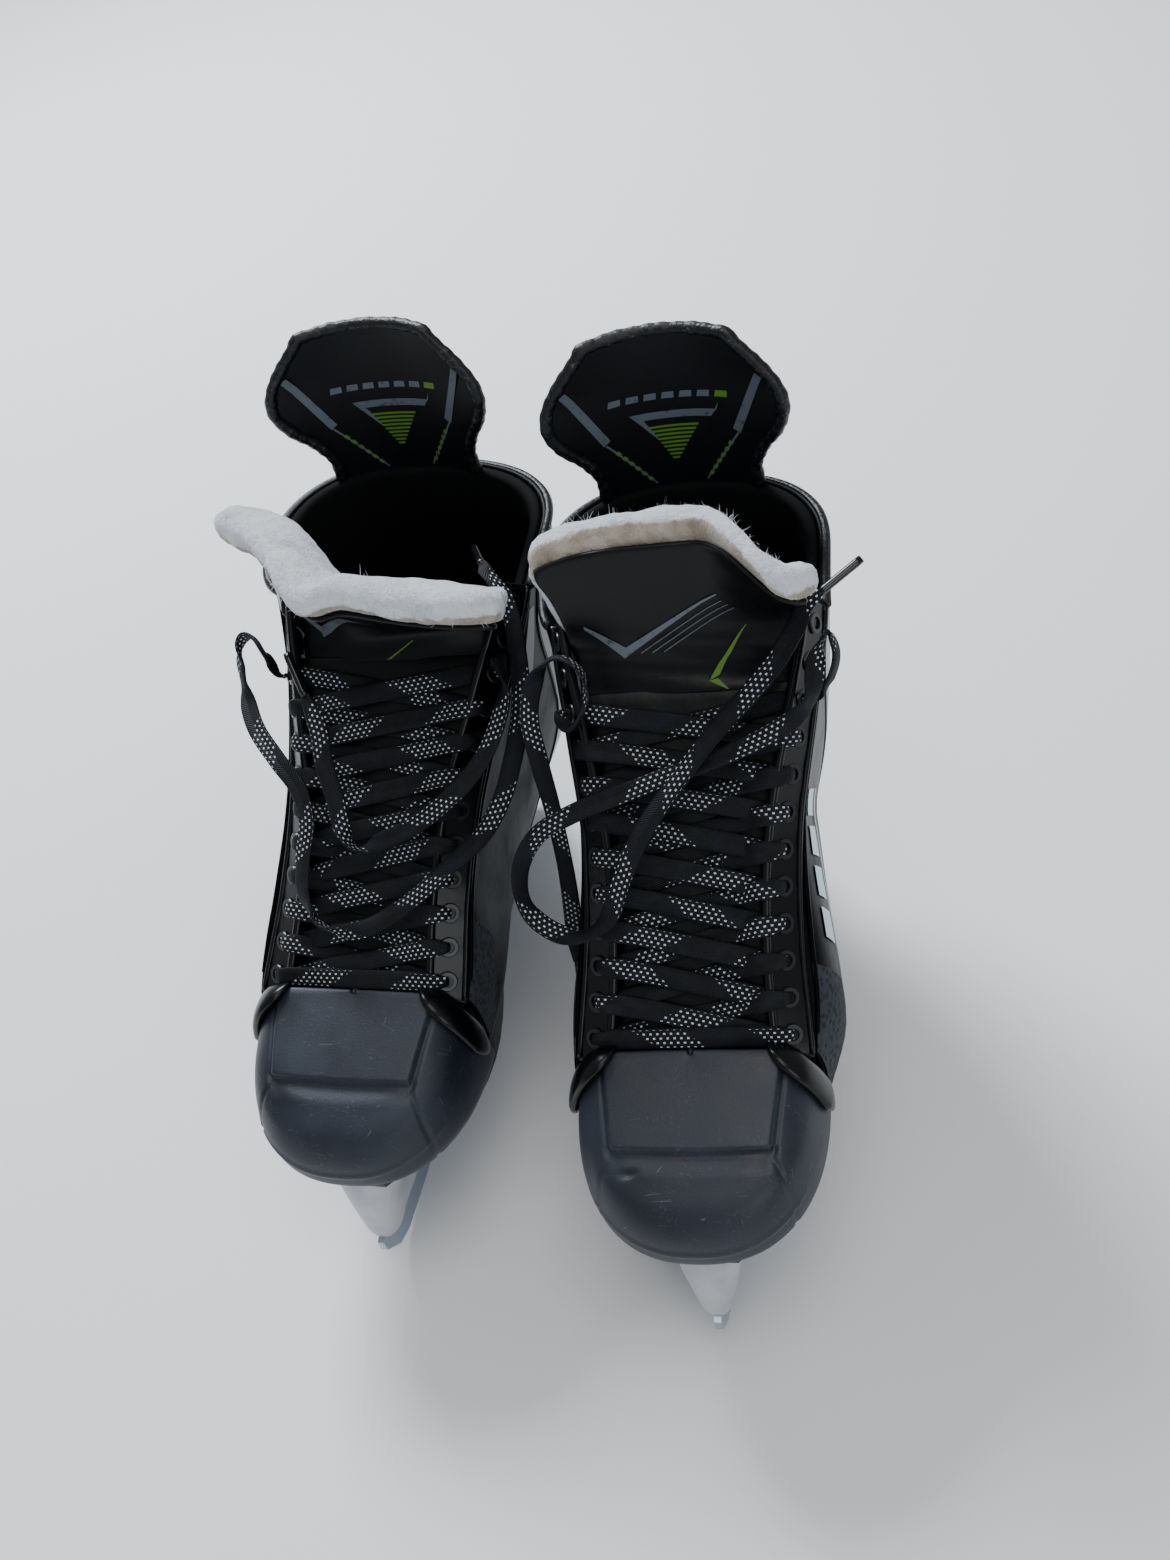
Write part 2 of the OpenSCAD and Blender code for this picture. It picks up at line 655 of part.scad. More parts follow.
function sole_z(y) = lookup(y, [for (k = [0:station_count]) if (k / station_count <= 5 / 9)
  curve_at(back_line, k / station_count)]);

// A foot plate follows the sole between two y values
module foot_plate(y0, y1, half0, half1) {
  intersection() {
    across(2 * forefoot_width)
      let (line = bottom_line(-outsole_thick))
      polygon(concat(line, [for (k = [len(line) - 1:-1:0]) line[k] - [0, foot_plate_thick]]));
    translate([0, 0, 1]) linear_extrude(heel_z) polygon([
      [-half0 * 0.6, y0], [half0 * 0.6, y0], [half0, y0 + 12], [half1, y1 - 10], [half1 * 0.8, y1],
      [-half1 * 0.8, y1], [-half1, y1 - 10], [-half0, y0 + 12]]);
  }
}

// A tower tapers from the foot plate down to the blade slot
tower_round = 5;
module tower(y0, y1, top_z, top_half, low_y0, low_y1) {
  hull() {
    for (x = [-1, 1], y = [y0, y1]) translate([x * (top_half - tower_round), y, top_z - 1])
      cylinder(r = tower_round, h = 1, $fn = 24);
    for (y = [low_y0, low_y1]) translate([0, y, slot_z + 2]) cylinder(d = tower_thick, h = 1, $fn = 24);
  }
}

module holder_profile() {
  y0 = holder_front - 8.5;
  y1 = holder_rear;
  polygon([[y0, slot_z + 10], [y0 + 6, slot_z + 3], [y0 + 24, slot_z], [y1 - 22, slot_z], [y1 - 6, slot_z + 3],
    [y1, slot_z + 12], [y1 - 2, slot_z + 30], [rear_plate[1] - 6, rear_plate_z], [rear_plate[0] + 14, rear_plate_z],
    [rear_plate[0], bridge_top + 9], [rear_plate[0] - 16, bridge_top], [front_plate[1] + 16, bridge_top],
    [front_plate[1], bridge_top + 8], [front_plate[1] - 12, front_plate_z], [front_plate[0] + 2, front_plate_z],
    [y0 + 2, slot_z + 24]]);
}

rivet_head = 1.6;
front_rivet_half = 0.235 * forefoot_width;
rivet_places = concat(
  [for (x = [-1, 1], k = [0:3])
    let (y = mix(front_plate[0] + 16, front_plate[1] - 12, k / 3))
    [x * front_rivet_half, y, sole_z(max(y, toe_cap_length + 1)) - outsole_thick - foot_plate_thick]],
  [for (x = [-1, 1], k = [0:2])
    let (y = mix(rear_plate[0] + 14, outsole_rear - 22, k / 2))
    [x * front_rivet_half * 0.88, y, sole_z(y) - outsole_thick - foot_plate_thick]]);

module rivet_bores() {
  for (p = rivet_places) translate([p[0], p[1], p[2] - 10])
    cylinder(d = rivet_d + 2 * bore_gap, h = foot_plate_thick + outsole_thick + 30);
}

bolt_places = [[front_plate[0] + 0.6 * (front_plate[1] - front_plate[0]), slot_z + 10],
  [rear_plate[0] + 0.45 * (rear_plate[1] - rear_plate[0]), slot_z + 10]];

module bolt_bores(d) {
  for (p = bolt_places) translate([-20, p[0], p[1]]) rotate([0, 90, 0]) cylinder(d = d, h = 40);
}

// Flat round seats in the towers' flanks for the bolt heads and nuts
module bolt_seats() {
  for (p = bolt_places, turn = [-90, 90]) translate([0, p[0], p[1]]) rotate([0, turn, 0])
    translate([0, 0, tower_thick / 2]) cylinder(d = bolt_d + 7, h = 20);
}

tower_half = 14;
module holder() {
  color("#b4b5ba") difference() {
    union() {
      foot_plate(front_plate[0], front_plate[1], 28, 33);
      foot_plate(rear_plate[0], rear_plate[1] - 14, 30, 27);
      tower(front_plate[0] + 3, front_plate[1] - 20, front_plate_z + eps, tower_half, holder_front - 2, front_plate[1] - 8);
      tower(rear_plate[0] + 20, rear_plate[1] - 28, rear_plate_z + eps, tower_half, rear_plate[0] + 8, rear_plate[1] - 10);
      across(tower_thick) holder_profile();
    }
    across(runner_thick + 2 * bore_gap) polygon(runner_outline(bore_gap));
    bolt_bores(bolt_d + 2 * bore_gap);
    bolt_seats();
    rivet_bores();
    for (p = rivet_places) translate([p[0], p[1], 1]) cylinder(d = rivet_d + 6, h = p[2] - 1);
  }
}

// Rise of the runner's edge away from its flat middle, with a rocker at both ends
rocker = 900;
runner_mid = (holder_front + holder_rear) / 2;
runner_front = 2;
runner_rear = holder_rear + 6;
function edge_rise(y) =
  let (out = max(abs(y - runner_mid) - flat_length / 2, 0))
  let (front = max(22 - (y - runner_front), 0))
  let (rear = max(15 - (runner_rear - y), 0))
  out * out / 2 / rocker + 24 - sqrt(max(24 * 24 - front * front, 0)) + 16 - sqrt(max(16 * 16 - rear * rear, 0));

// Outline of the steel: its edge, and its top inside the slot, grown by gap
function runner_outline(gap) =
  let (steps = 30)
  let (top = slot_z + slot_depth - 4)
  concat(
    [for (k = [0:steps]) let (y = mix(runner_front, runner_rear, k / steps)) [y, edge_rise(y) - gap]],
    [[runner_rear + gap, slot_z + 6], [runner_rear - 14, top + gap], [runner_front + 26, top + gap],
      [runner_front - gap, slot_z + 4]]);

module runner() {
  color("#9fb0c2") difference() {
    across(runner_thick) polygon(runner_outline(0));
    bolt_bores(bolt_d + 2 * bore_gap);
  }
}

bolt_head = 2.4;
nut_height = 3.6;
module blade_bolts() {
  color("#8d9196") for (p = bolt_places) translate([0, p[0], p[1]]) rotate([0, 90, 0]) {
    translate([0, 0, -tower_thick / 2 - nut_height]) cylinder(d = bolt_d, h = tower_thick + nut_height + bore_gap + eps);
    translate([0, 0, tower_thick / 2 + bore_gap]) cylinder(d = bolt_d + 4, h = bolt_head);
  }
}

module blade_nuts() {
  color("#8d9196") for (p = bolt_places)
    translate([-tower_thick / 2 - bore_gap - nut_height, p[0], p[1]]) rotate([0, 90, 0]) difference() {
      cylinder(d = bolt_d + 4.6, h = nut_height, $fn = 6);
      translate([0, 0, -1]) cylinder(d = bolt_d + 2 * bore_gap, h = nut_height + 2);
    }
}

module holder_rivets() {
  color("#a9754c") for (p = rivet_places) translate(p) {
    cylinder(d = rivet_d, h = foot_plate_thick + outsole_thick - 0.4);
    translate([0, 0, -rivet_head]) cylinder(d1 = rivet_d + 2.6, d2 = rivet_d + 4.4, h = rivet_head);
    translate([0, 0, foot_plate_thick + outsole_thick - 1.2 + eps]) cylinder(d = rivet_d + 2.6, h = 0.8);
  }
}

// ---- Assembly ----

pair_y = boot_length / 2 + 1.5;
// The blades stand far enough apart for two wide collars, whose throats sit askew
blade_distance = max(skate_spacing, collar_width + right_throat_shift + 8);
module place_left() {
  $throat_shift = left_throat_shift;
  translate([blade_distance / 2, -stagger / 2, 0]) rotate(toe_out) translate([0, -pair_y, 0]) children();
}
module place_right() {
  $throat_shift = -right_throat_shift;
  translate([-blade_distance / 2, stagger / 2, 0]) rotate(-toe_out) translate([0, -pair_y, 0])
    mirror([1, 0, 0]) children();
}

place_left() toe_cap();  // left_toe_cap
place_left() quarter_shell();  // left_quarter_shell
place_left() facings();  // left_facings
place_left() eyelets();  // left_eyelets
place_left() ankle_liner();  // left_ankle_liner
place_left() insole_board();  // left_insole_board
place_left() footbed();  // left_footbed
place_left() outsole();  // left_outsole
place_left() tongue_felt();  // left_tongue_felt
place_left() tongue_face();  // left_tongue_face
place_left() tongue_top_felt(left_tongue_lean);  // left_tongue_top_felt
place_left() tongue_top_face(left_tongue_lean);  // left_tongue_top_face
place_left() tendon_guard();  // left_tendon_guard
place_left() holder();  // left_holder
place_left() runner();  // left_runner
place_left() blade_bolts();  // left_blade_bolts
place_left() blade_nuts();  // left_blade_nuts
place_left() holder_rivets();  // left_holder_rivets
place_left() lace();  // left_lace
place_left() lace_end(-1, left_inner_points);  // left_lace_end_inner
place_left() lace_end(1, left_outer_points);  // left_lace_end_outer
place_left() aglet(-1, left_inner_points);  // left_aglet_inner
place_left() aglet(1, left_outer_points);  // left_aglet_outer

place_right() toe_cap();  // right_toe_cap
place_right() quarter_shell();  // right_quarter_shell
place_right() facings();  // right_facings
place_right() eyelets();  // right_eyelets
place_right() ankle_liner();  // right_ankle_liner
place_right() insole_board();  // right_insole_board
place_right() footbed();  // right_footbed
place_right() outsole();  // right_outsole
place_right() tongue_felt();  // right_tongue_felt
place_right() tongue_face();  // right_tongue_face
place_right() tongue_top_felt(right_tongue_lean);  // right_tongue_top_felt
place_right() tongue_top_face(right_tongue_lean);  // right_tongue_top_face
place_right() tendon_guard();  // right_tendon_guard
place_right() holder();  // right_holder
place_right() runner();  // right_runner
place_right() blade_bolts();  // right_blade_bolts
place_right() blade_nuts();  // right_blade_nuts
place_right() holder_rivets();  // right_holder_rivets
place_right() lace();  // right_lace
place_right() lace_end(-1, right_inner_points);  // right_lace_end_inner
place_right() lace_end(1, right_outer_points);  // right_lace_end_outer
place_right() aglet(-1, right_inner_points);  // right_aglet_inner
place_right() aglet(1, right_outer_points);  // right_aglet_outer
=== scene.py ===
# %% [markdown]
# A pair of worn ice hockey skates: hard toe caps, glossy boots, flat laces with white flecks,
# felt tongues that flop forward, and tall tendon guards. Each skate is built in its own frame in
# millimetres, x to its outer side, y from toe to heel, z up, and then set in the shared frame.

# %% Start
import math

import bmesh
import bpy
import numpy as np
from mathutils import Matrix, Vector

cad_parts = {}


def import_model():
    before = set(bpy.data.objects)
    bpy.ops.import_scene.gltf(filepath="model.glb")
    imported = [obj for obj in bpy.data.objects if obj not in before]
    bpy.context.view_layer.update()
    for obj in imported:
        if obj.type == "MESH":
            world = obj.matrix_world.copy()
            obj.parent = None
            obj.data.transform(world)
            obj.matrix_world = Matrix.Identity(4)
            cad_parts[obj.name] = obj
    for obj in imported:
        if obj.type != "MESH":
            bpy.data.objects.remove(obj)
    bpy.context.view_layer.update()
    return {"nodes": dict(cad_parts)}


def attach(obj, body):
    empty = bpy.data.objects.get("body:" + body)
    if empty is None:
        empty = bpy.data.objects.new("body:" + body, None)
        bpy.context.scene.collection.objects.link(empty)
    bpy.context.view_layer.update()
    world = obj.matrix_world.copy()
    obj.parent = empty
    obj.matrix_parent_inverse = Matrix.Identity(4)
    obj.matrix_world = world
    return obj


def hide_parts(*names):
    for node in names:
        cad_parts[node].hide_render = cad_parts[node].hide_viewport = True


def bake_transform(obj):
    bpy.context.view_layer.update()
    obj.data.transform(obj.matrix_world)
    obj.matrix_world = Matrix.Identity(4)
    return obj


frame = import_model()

SIDES = ("left", "right")

# %% [markdown]
# The viewer stands in front and to the right, looks down at 45 degrees, and the camera is tipped.
# Three unit ways are worked out from those angles and become the camera's own axes.

# %% Camera
AZIMUTH, ELEVATION, ROLL = math.radians(20.7), math.radians(45), math.radians(-16.4)
back = Vector((math.sin(AZIMUTH) * math.cos(ELEVATION), -math.cos(AZIMUTH) * math.cos(ELEVATION), math.sin(ELEVATION)))
level = Vector((math.cos(AZIMUTH), math.sin(AZIMUTH), 0))
upright = back.cross(level)
right_way = level * math.cos(ROLL) + upright * math.sin(ROLL)
up_way = upright * math.cos(ROLL) - level * math.sin(ROLL)
camera = bpy.data.objects.new("camera", bpy.data.cameras.new("camera"))
bpy.context.scene.collection.objects.link(camera)
camera.data.lens, camera.data.sensor_width = 37.04, 36
camera.data.clip_start = 0.01
axes = Matrix((right_way, up_way, back)).transposed().to_4x4()
camera.matrix_world = Matrix.Translation((0.192, -0.438, 0.645)) @ axes
bpy.context.scene.camera = camera
print("camera", [round(v, 3) for v in camera.location])

# %% [markdown]
# Materials come from one colour function, one that adds a shader node, and one for arithmetic.

# %% Material helpers
def rgb(code):
    """Linear colour from an sRGB hex code."""
    parts = [int(code[i:i + 2], 16) / 255 for i in (1, 3, 5)]
    return [p / 12.92 if p <= 0.04045 else ((p + 0.055) / 1.055) ** 2.4 for p in parts] + [1]


def add(mat, kind, inputs=None, **settings):
    """Adds a shader node, with its settings, and its inputs as values or links."""
    made = mat.node_tree.nodes.new(kind)
    for key, value in settings.items():
        setattr(made, key, value)
    for key, value in (inputs or {}).items():
        if isinstance(value, bpy.types.NodeSocket):
            mat.node_tree.links.new(value, made.inputs[key])
        else:
            made.inputs[key].default_value = value
    return made


def calc(mat, operation, *values):
    return add(mat, "ShaderNodeMath", dict(enumerate(values)), operation=operation).outputs[0]


def ramp(mat, value, low, high, to_low=0.0, to_high=1.0):
    return add(mat, "ShaderNodeMapRange", {"Value": value, "From Min": low, "From Max": high,
                                           "To Min": to_low, "To Max": to_high}).outputs[0]


def blend_colour(mat, share, a, b):
    made = add(mat, "ShaderNodeMix", data_type="RGBA")
    for index, value in ((0, share), (6, a), (7, b)):
        if isinstance(value, bpy.types.NodeSocket):
            mat.node_tree.links.new(value, made.inputs[index])
        else:
            made.inputs[index].default_value = value
    return made.outputs[2]


def noise(mat, size_mm, detail=3.0, rough=0.55, stretch=(1, 1, 1)):
    """Noise in the object's own millimetres, about size_mm from blob to blob."""
    place = add(mat, "ShaderNodeTexCoord").outputs["Object"]
    mapped = add(mat, "ShaderNodeMapping", {"Vector": place, "Scale": stretch}).outputs[0]
    return add(mat, "ShaderNodeTexNoise", {"Vector": mapped, "Scale": 1000 / size_mm, "Detail": detail,
                                           "Roughness": rough}).outputs[0]


def bump(mat, height, strength, depth_mm):
    return add(mat, "ShaderNodeBump", {"Height": height, "Strength": strength, "Distance": depth_mm / 1000}).outputs[0]


def surface(name, colour, roughness, **more):
    """A material with constant values, and its shader for what is linked later."""
    mat = bpy.data.materials.new(name)
    mat.use_nodes = True
    shader = mat.node_tree.nodes["Principled BSDF"]
    shader.inputs["Base Color"].default_value = rgb(colour)
    shader.inputs["Roughness"].default_value = roughness
    for key, value in more.items():
        shader.inputs[key.replace("_", " ")].default_value = value
    return mat, shader


def link(mat, socket, shader, name):
    mat.node_tree.links.new(socket, shader.inputs[name])


# %% [markdown]
# Boot shell: coated synthetic over a stiff core. The coat gives long bright streaks, the fine
# wrinkle shows that it is a film over fabric, and rubbed places are duller.

# %% Boot materials
shell_mat, s = surface("coated_synthetic_black", "#07090c", 0.36, IOR=1.45, Specular_IOR_Level=0.06)
worn = ramp(shell_mat, noise(shell_mat, 26, 4), 0.5, 0.72)
link(shell_mat, blend_colour(shell_mat, worn, rgb("#050608"), rgb("#0e1318")), s, "Base Color")
link(shell_mat, ramp(shell_mat, worn, 0, 1, 0.36, 0.52), s, "Roughness")
link(shell_mat, bump(shell_mat, noise(shell_mat, 5, 3), 0.35, 0.35), s, "Normal")

# Stay: moulded glossy edging, smooth, so that it mirrors the light in thin lines
stay_mat, s = surface("moulded_gloss_stay", "#05070a", 0.26, IOR=1.45, Specular_IOR_Level=0.35)
link(stay_mat, bump(stay_mat, noise(stay_mat, 7, 3), 0.3, 0.3), s, "Normal")

# Worn mesh: an open black weave whose threads have frayed, so it is rough and broken
mesh_mat, s = surface("abraded_mesh_cloth", "#16191e", 0.85)
pits = add(mesh_mat, "ShaderNodeTexVoronoi", {"Vector": add(mesh_mat, "ShaderNodeTexCoord").outputs["Object"],
                                              "Scale": 420}).outputs["Distance"]
link(mesh_mat, blend_colour(mesh_mat, ramp(mesh_mat, pits, 0.2, 0.6), rgb("#0a0c0f"), rgb("#2a3038")), s, "Base Color")
link(mesh_mat, bump(mesh_mat, pits, 0.9, 0.8), s, "Normal")

# Lining: brushed synthetic, nearly black, with no shine of its own
liner_mat, s = surface("brushed_lining", "#040507", 0.85, Specular_IOR_Level=0.15)
link(liner_mat, bump(liner_mat, noise(liner_mat, 2, 2), 0.4, 0.3), s, "Normal")

# Cords and bindings along the collar: glossy braid with rubbed, lighter high spots
binding_mat, s = surface("rubbed_binding", "#0a0c10", 0.4, IOR=1.45)
rub = ramp(binding_mat, noise(binding_mat, 2.2, 4, 0.7), 0.6, 0.72)
link(binding_mat, blend_colour(binding_mat, rub, rgb("#080a0e"), rgb("#4d545e")), s, "Base Color")
link(binding_mat, bump(binding_mat, noise(binding_mat, 1.6, 3), 0.8, 0.6), s, "Normal")

# %% [markdown]
# Toe cap: tough moulded plastic, slate blue and matt, polished in places, with fine scratches and
# pale scuffs where pucks and boards have hit it.

# %% Toe cap material
toe_mat, s = surface("moulded_toe_plastic", "#1c212a", 0.48, IOR=1.48)
cloudy = ramp(toe_mat, noise(toe_mat, 34, 3), 0.35, 0.7)
scratch = add(toe_mat, "ShaderNodeTexVoronoi", {"Vector": add(toe_mat, "ShaderNodeMapping", {
    "Vector": add(toe_mat, "ShaderNodeTexCoord").outputs["Object"], "Rotation": (0.2, 0.3, 0.7),
    "Scale": (26, 210, 60)}).outputs[0], "Scale": 1.0}, feature="DISTANCE_TO_EDGE").outputs["Distance"]
lines = calc(toe_mat, "MULTIPLY", ramp(toe_mat, scratch, 0.007, 0.0), ramp(toe_mat, noise(toe_mat, 6, 2), 0.56, 0.64))
scuffs = calc(toe_mat, "MULTIPLY", ramp(toe_mat, noise(toe_mat, 1.4, 5, 0.75), 0.55, 0.7),
              ramp(toe_mat, noise(toe_mat, 16, 2), 0.5, 0.68))
tone = blend_colour(toe_mat, cloudy, rgb("#151b26"), rgb("#222a37"))
tone = blend_colour(toe_mat, calc(toe_mat, "MULTIPLY", scuffs, 0.3), tone, rgb("#6b7688"))
link(toe_mat, blend_colour(toe_mat, calc(toe_mat, "MULTIPLY", lines, 0.32), tone, rgb("#8792a4")), s, "Base Color")
link(toe_mat, ramp(toe_mat, cloudy, 0, 1, 0.42, 0.58), s, "Roughness")
grain = calc(toe_mat, "SUBTRACT", noise(toe_mat, 0.9, 2), calc(toe_mat, "MULTIPLY", lines, 1.5))
link(toe_mat, bump(toe_mat, grain, 0.35, 0.25), s, "Normal")

# %% [markdown]
# Felt: pressed wool-like fibre. White on the wearer's side, tan and torn where the face ends.

# %% Felt materials
felt_mat, s = surface("pressed_white_felt", "#dfe6ee", 1.0, Sheen_Weight=0.5, Sheen_Roughness=0.6)
patches = ramp(felt_mat, noise(felt_mat, 13, 4, 0.65), 0.5, 0.8)
torn = add(felt_mat, "ShaderNodeAttribute", attribute_name="torn").outputs["Fac"]
torn = ramp(felt_mat, calc(felt_mat, "ADD", torn, calc(felt_mat, "MULTIPLY", noise(felt_mat, 5, 4, 0.7), 0.7)),
            0.78, 0.92)
white = blend_colour(felt_mat, patches, rgb("#dfe6ee"), rgb("#aeb4bb"))
tan = blend_colour(felt_mat, ramp(felt_mat, noise(felt_mat, 9, 4), 0.38, 0.66), rgb("#bdb2a1"), rgb("#877a66"))
link(felt_mat, blend_colour(felt_mat, torn, white, tan), s, "Base Color")
strands = noise(felt_mat, 2.2, 4, 0.75, (1, 1, 0.45))
height = calc(felt_mat, "ADD", noise(felt_mat, 6, 4, 0.7), calc(felt_mat, "MULTIPLY", strands, 0.8))
link(felt_mat, bump(felt_mat, height, 1.0, 2.6), s, "Normal")
fibre_mat, s = surface("loose_felt_fibre", "#e6ecf3", 0.9)

# %% [markdown]
# Tongue and guard faces: coated cloth, smooth and black, printed in silver grey and green. A flat
# print is a thin patch of geometry with its own material, so that its edges stay crisp.

# %% Printed faces
face_mat, s = surface("coated_tongue_cloth", "#040508", 0.4, IOR=1.45, Specular_IOR_Level=0.3)
link(face_mat, bump(face_mat, noise(face_mat, 18, 3), 0.5, 1.4), s, "Normal")
guard_mat, s = surface("coated_guard_cloth", "#04060a", 0.5, IOR=1.45, Specular_IOR_Level=0.3)
link(guard_mat, bump(guard_mat, noise(guard_mat, 24, 3), 0.4, 1.0), s, "Normal")
silver_mat, s = surface("silver_grey_print", "#7b858f", 0.42, Metallic=0.25)
link(silver_mat, blend_colour(silver_mat, ramp(silver_mat, noise(silver_mat, 3, 4), 0.58, 0.72),
                              rgb("#5d666f"), rgb("#353c44")), s, "Base Color")
green_mat, s = surface("green_print", "#527c12", 0.45)
pale_mat, s = surface("pale_blue_print", "#bfe0ea", 0.35)
grey_mat, s = surface("grey_side_panel", "#8e9399", 0.4)

# %% [markdown]
# Lace: flat woven polyester with a wax shine. White flecks stand in slanted groups: four rows of
# small dashes, every second row set half a step on, and a group comes back every 46 mm. The rows
# are 1.75 mm apart, which is as coarse as they need to be to show.

# %% Lace material
FLECK_ROW, FLECK_STEP, FLECK_GROUP, LACE_EDGE = 1.75, 2.7, 46, 20
lace_mat, s = surface("waxed_flat_lace", "#07090d", 0.62, IOR=1.45, Specular_IOR_Level=0.3)
parts = add(lace_mat, "ShaderNodeSeparateXYZ", {"Vector": add(lace_mat, "ShaderNodeUVMap").outputs[0]}).outputs
along, wide = parts[0], parts[1]
row = calc(lace_mat, "FLOOR", calc(lace_mat, "DIVIDE", calc(lace_mat, "ADD", wide, LACE_EDGE), FLECK_ROW))
step = calc(lace_mat, "ADD", calc(lace_mat, "DIVIDE", along, FLECK_STEP), calc(lace_mat, "MULTIPLY", row, 0.5))
in_step = calc(lace_mat, "ABSOLUTE", calc(lace_mat, "SUBTRACT", calc(lace_mat, "FRACT", step), 0.5))
in_row = calc(lace_mat, "ABSOLUTE", calc(lace_mat, "SUBTRACT", calc(lace_mat, "FRACT", calc(
    lace_mat, "DIVIDE", calc(lace_mat, "ADD", wide, LACE_EDGE), FLECK_ROW)), 0.5))
lean = calc(lace_mat, "ADD", along, calc(lace_mat, "MULTIPLY", wide, 1.5))
slanted = calc(lace_mat, "FRACT", calc(lace_mat, "DIVIDE", lean, FLECK_GROUP))
group = calc(lace_mat, "LESS_THAN", slanted, 0.42)
edge = calc(lace_mat, "LESS_THAN", calc(lace_mat, "ABSOLUTE", wide), 3.4)
fleck = calc(lace_mat, "MULTIPLY", calc(lace_mat, "LESS_THAN", in_step, 0.17), calc(lace_mat, "LESS_THAN", in_row, 0.2))
fleck = calc(lace_mat, "MULTIPLY", fleck, calc(lace_mat, "MULTIPLY", group, edge))
weave = blend_colour(lace_mat, ramp(lace_mat, noise(lace_mat, 6, 3), 0.4, 0.7), rgb("#06080c"), rgb("#0d131d"))
link(lace_mat, blend_colour(lace_mat, fleck, weave, rgb("#cfd6de")), s, "Base Color")
chevron = calc(lace_mat, "ADD", along, calc(lace_mat, "ABSOLUTE", wide))
ribs = calc(lace_mat, "SINE", calc(lace_mat, "MULTIPLY", chevron, 5.2))
link(lace_mat, bump(lace_mat, ribs, 0.5, 0.25), s, "Normal")

# %% [markdown]
# Hardware: the holder is glass-filled nylon with a satin skin, the runner is ground stainless
# steel, and the eyelets are enamelled brass.

# %% Hardware materials
holder_mat, s = surface("satin_nylon", "#b9bbc1", 0.36, IOR=1.53, Subsurface_Weight=0.05)
link(holder_mat, blend_colour(holder_mat, ramp(holder_mat, noise(holder_mat, 20, 4), 0.45, 0.75),
                              rgb("#bfc1c6"), rgb("#9da1a9")), s, "Base Color")
link(holder_mat, bump(holder_mat, noise(holder_mat, 3, 4), 0.3, 0.25), s, "Normal")
steel_mat, s = surface("ground_stainless", "#a8b4c2", 0.28, Metallic=1.0)
link(steel_mat, bump(steel_mat, noise(steel_mat, 1.2, 2, 0.5, (1, 0.06, 1)), 0.2, 0.1), s, "Normal")
bolt_mat, s = surface("zinc_plated_steel", "#8f949b", 0.35, Metallic=1.0)
rivet_mat, s = surface("copper_plated_rivet", "#a9754c", 0.4, Metallic=1.0)
enamel_mat, s = surface("black_enamelled_brass", "#14161a", 0.32, IOR=1.5)
sole_mat, s = surface("moulded_sole", "#14171c", 0.5)
link(sole_mat, bump(sole_mat, noise(sole_mat, 1.5, 2), 0.3, 0.2), s, "Normal")
board_mat, s = surface("pressed_board", "#6d6048", 0.9)
link(board_mat, bump(board_mat, noise(board_mat, 1.5, 2), 0.3, 0.2), s, "Normal")
footbed_mat, s = surface("foam_footbed_cloth", "#1c2129", 0.9)
link(footbed_mat, bump(footbed_mat, noise(footbed_mat, 1.2, 2), 0.5, 0.3), s, "Normal")
aglet_mat, s = surface("clear_black_film", "#0c0d10", 0.18, IOR=1.5)

# %% [markdown]
# Mesh building: a piece gathers grids and swept tubes, then becomes one object that rides on a
# body and stands for its CAD node.

# %% Mesh helpers
TURN = math.radians(2.4)
PLACE = {"left": (TURN, 70, -13.5, 1), "right": (-TURN, -70, 13.5, -1)}


def world(side, points):
    """Shared frame, in metres, from a skate's own millimetres."""
    turn, cx, cy, sign = PLACE[side]
    p = np.asarray(points, float)
    x, y = p[..., 0] * sign, p[..., 1] - 150
    return np.stack([math.cos(turn) * x - math.sin(turn) * y + cx,
                     math.sin(turn) * x + math.cos(turn) * y + cy, p[..., 2]], -1) / 1000


def unit(v):
    v = np.asarray(v, float)
    return v / np.maximum(np.linalg.norm(v, axis=-1, keepdims=True), 1e-12)


def curve_at(values, t):
    """Smooth curve through evenly spaced values, at t from 0 to 1."""
    v = np.asarray(values, float)
    n = len(v) - 1
    p = np.clip(np.asarray(t, float), 0, 1) * n
    i = np.minimum(np.floor(p).astype(int), n - 1)
    f = p - i
    a, b, c, d = v[np.maximum(i - 1, 0)], v[i], v[i + 1], v[np.minimum(i + 2, n)]
    if v.ndim > 1:
        f = f[..., None]
    return 0.5 * (2 * b + (c - a) * f + (2 * a - 5 * b + 4 * c - d) * f ** 2 + (3 * b - a - 3 * c + d) * f ** 3)


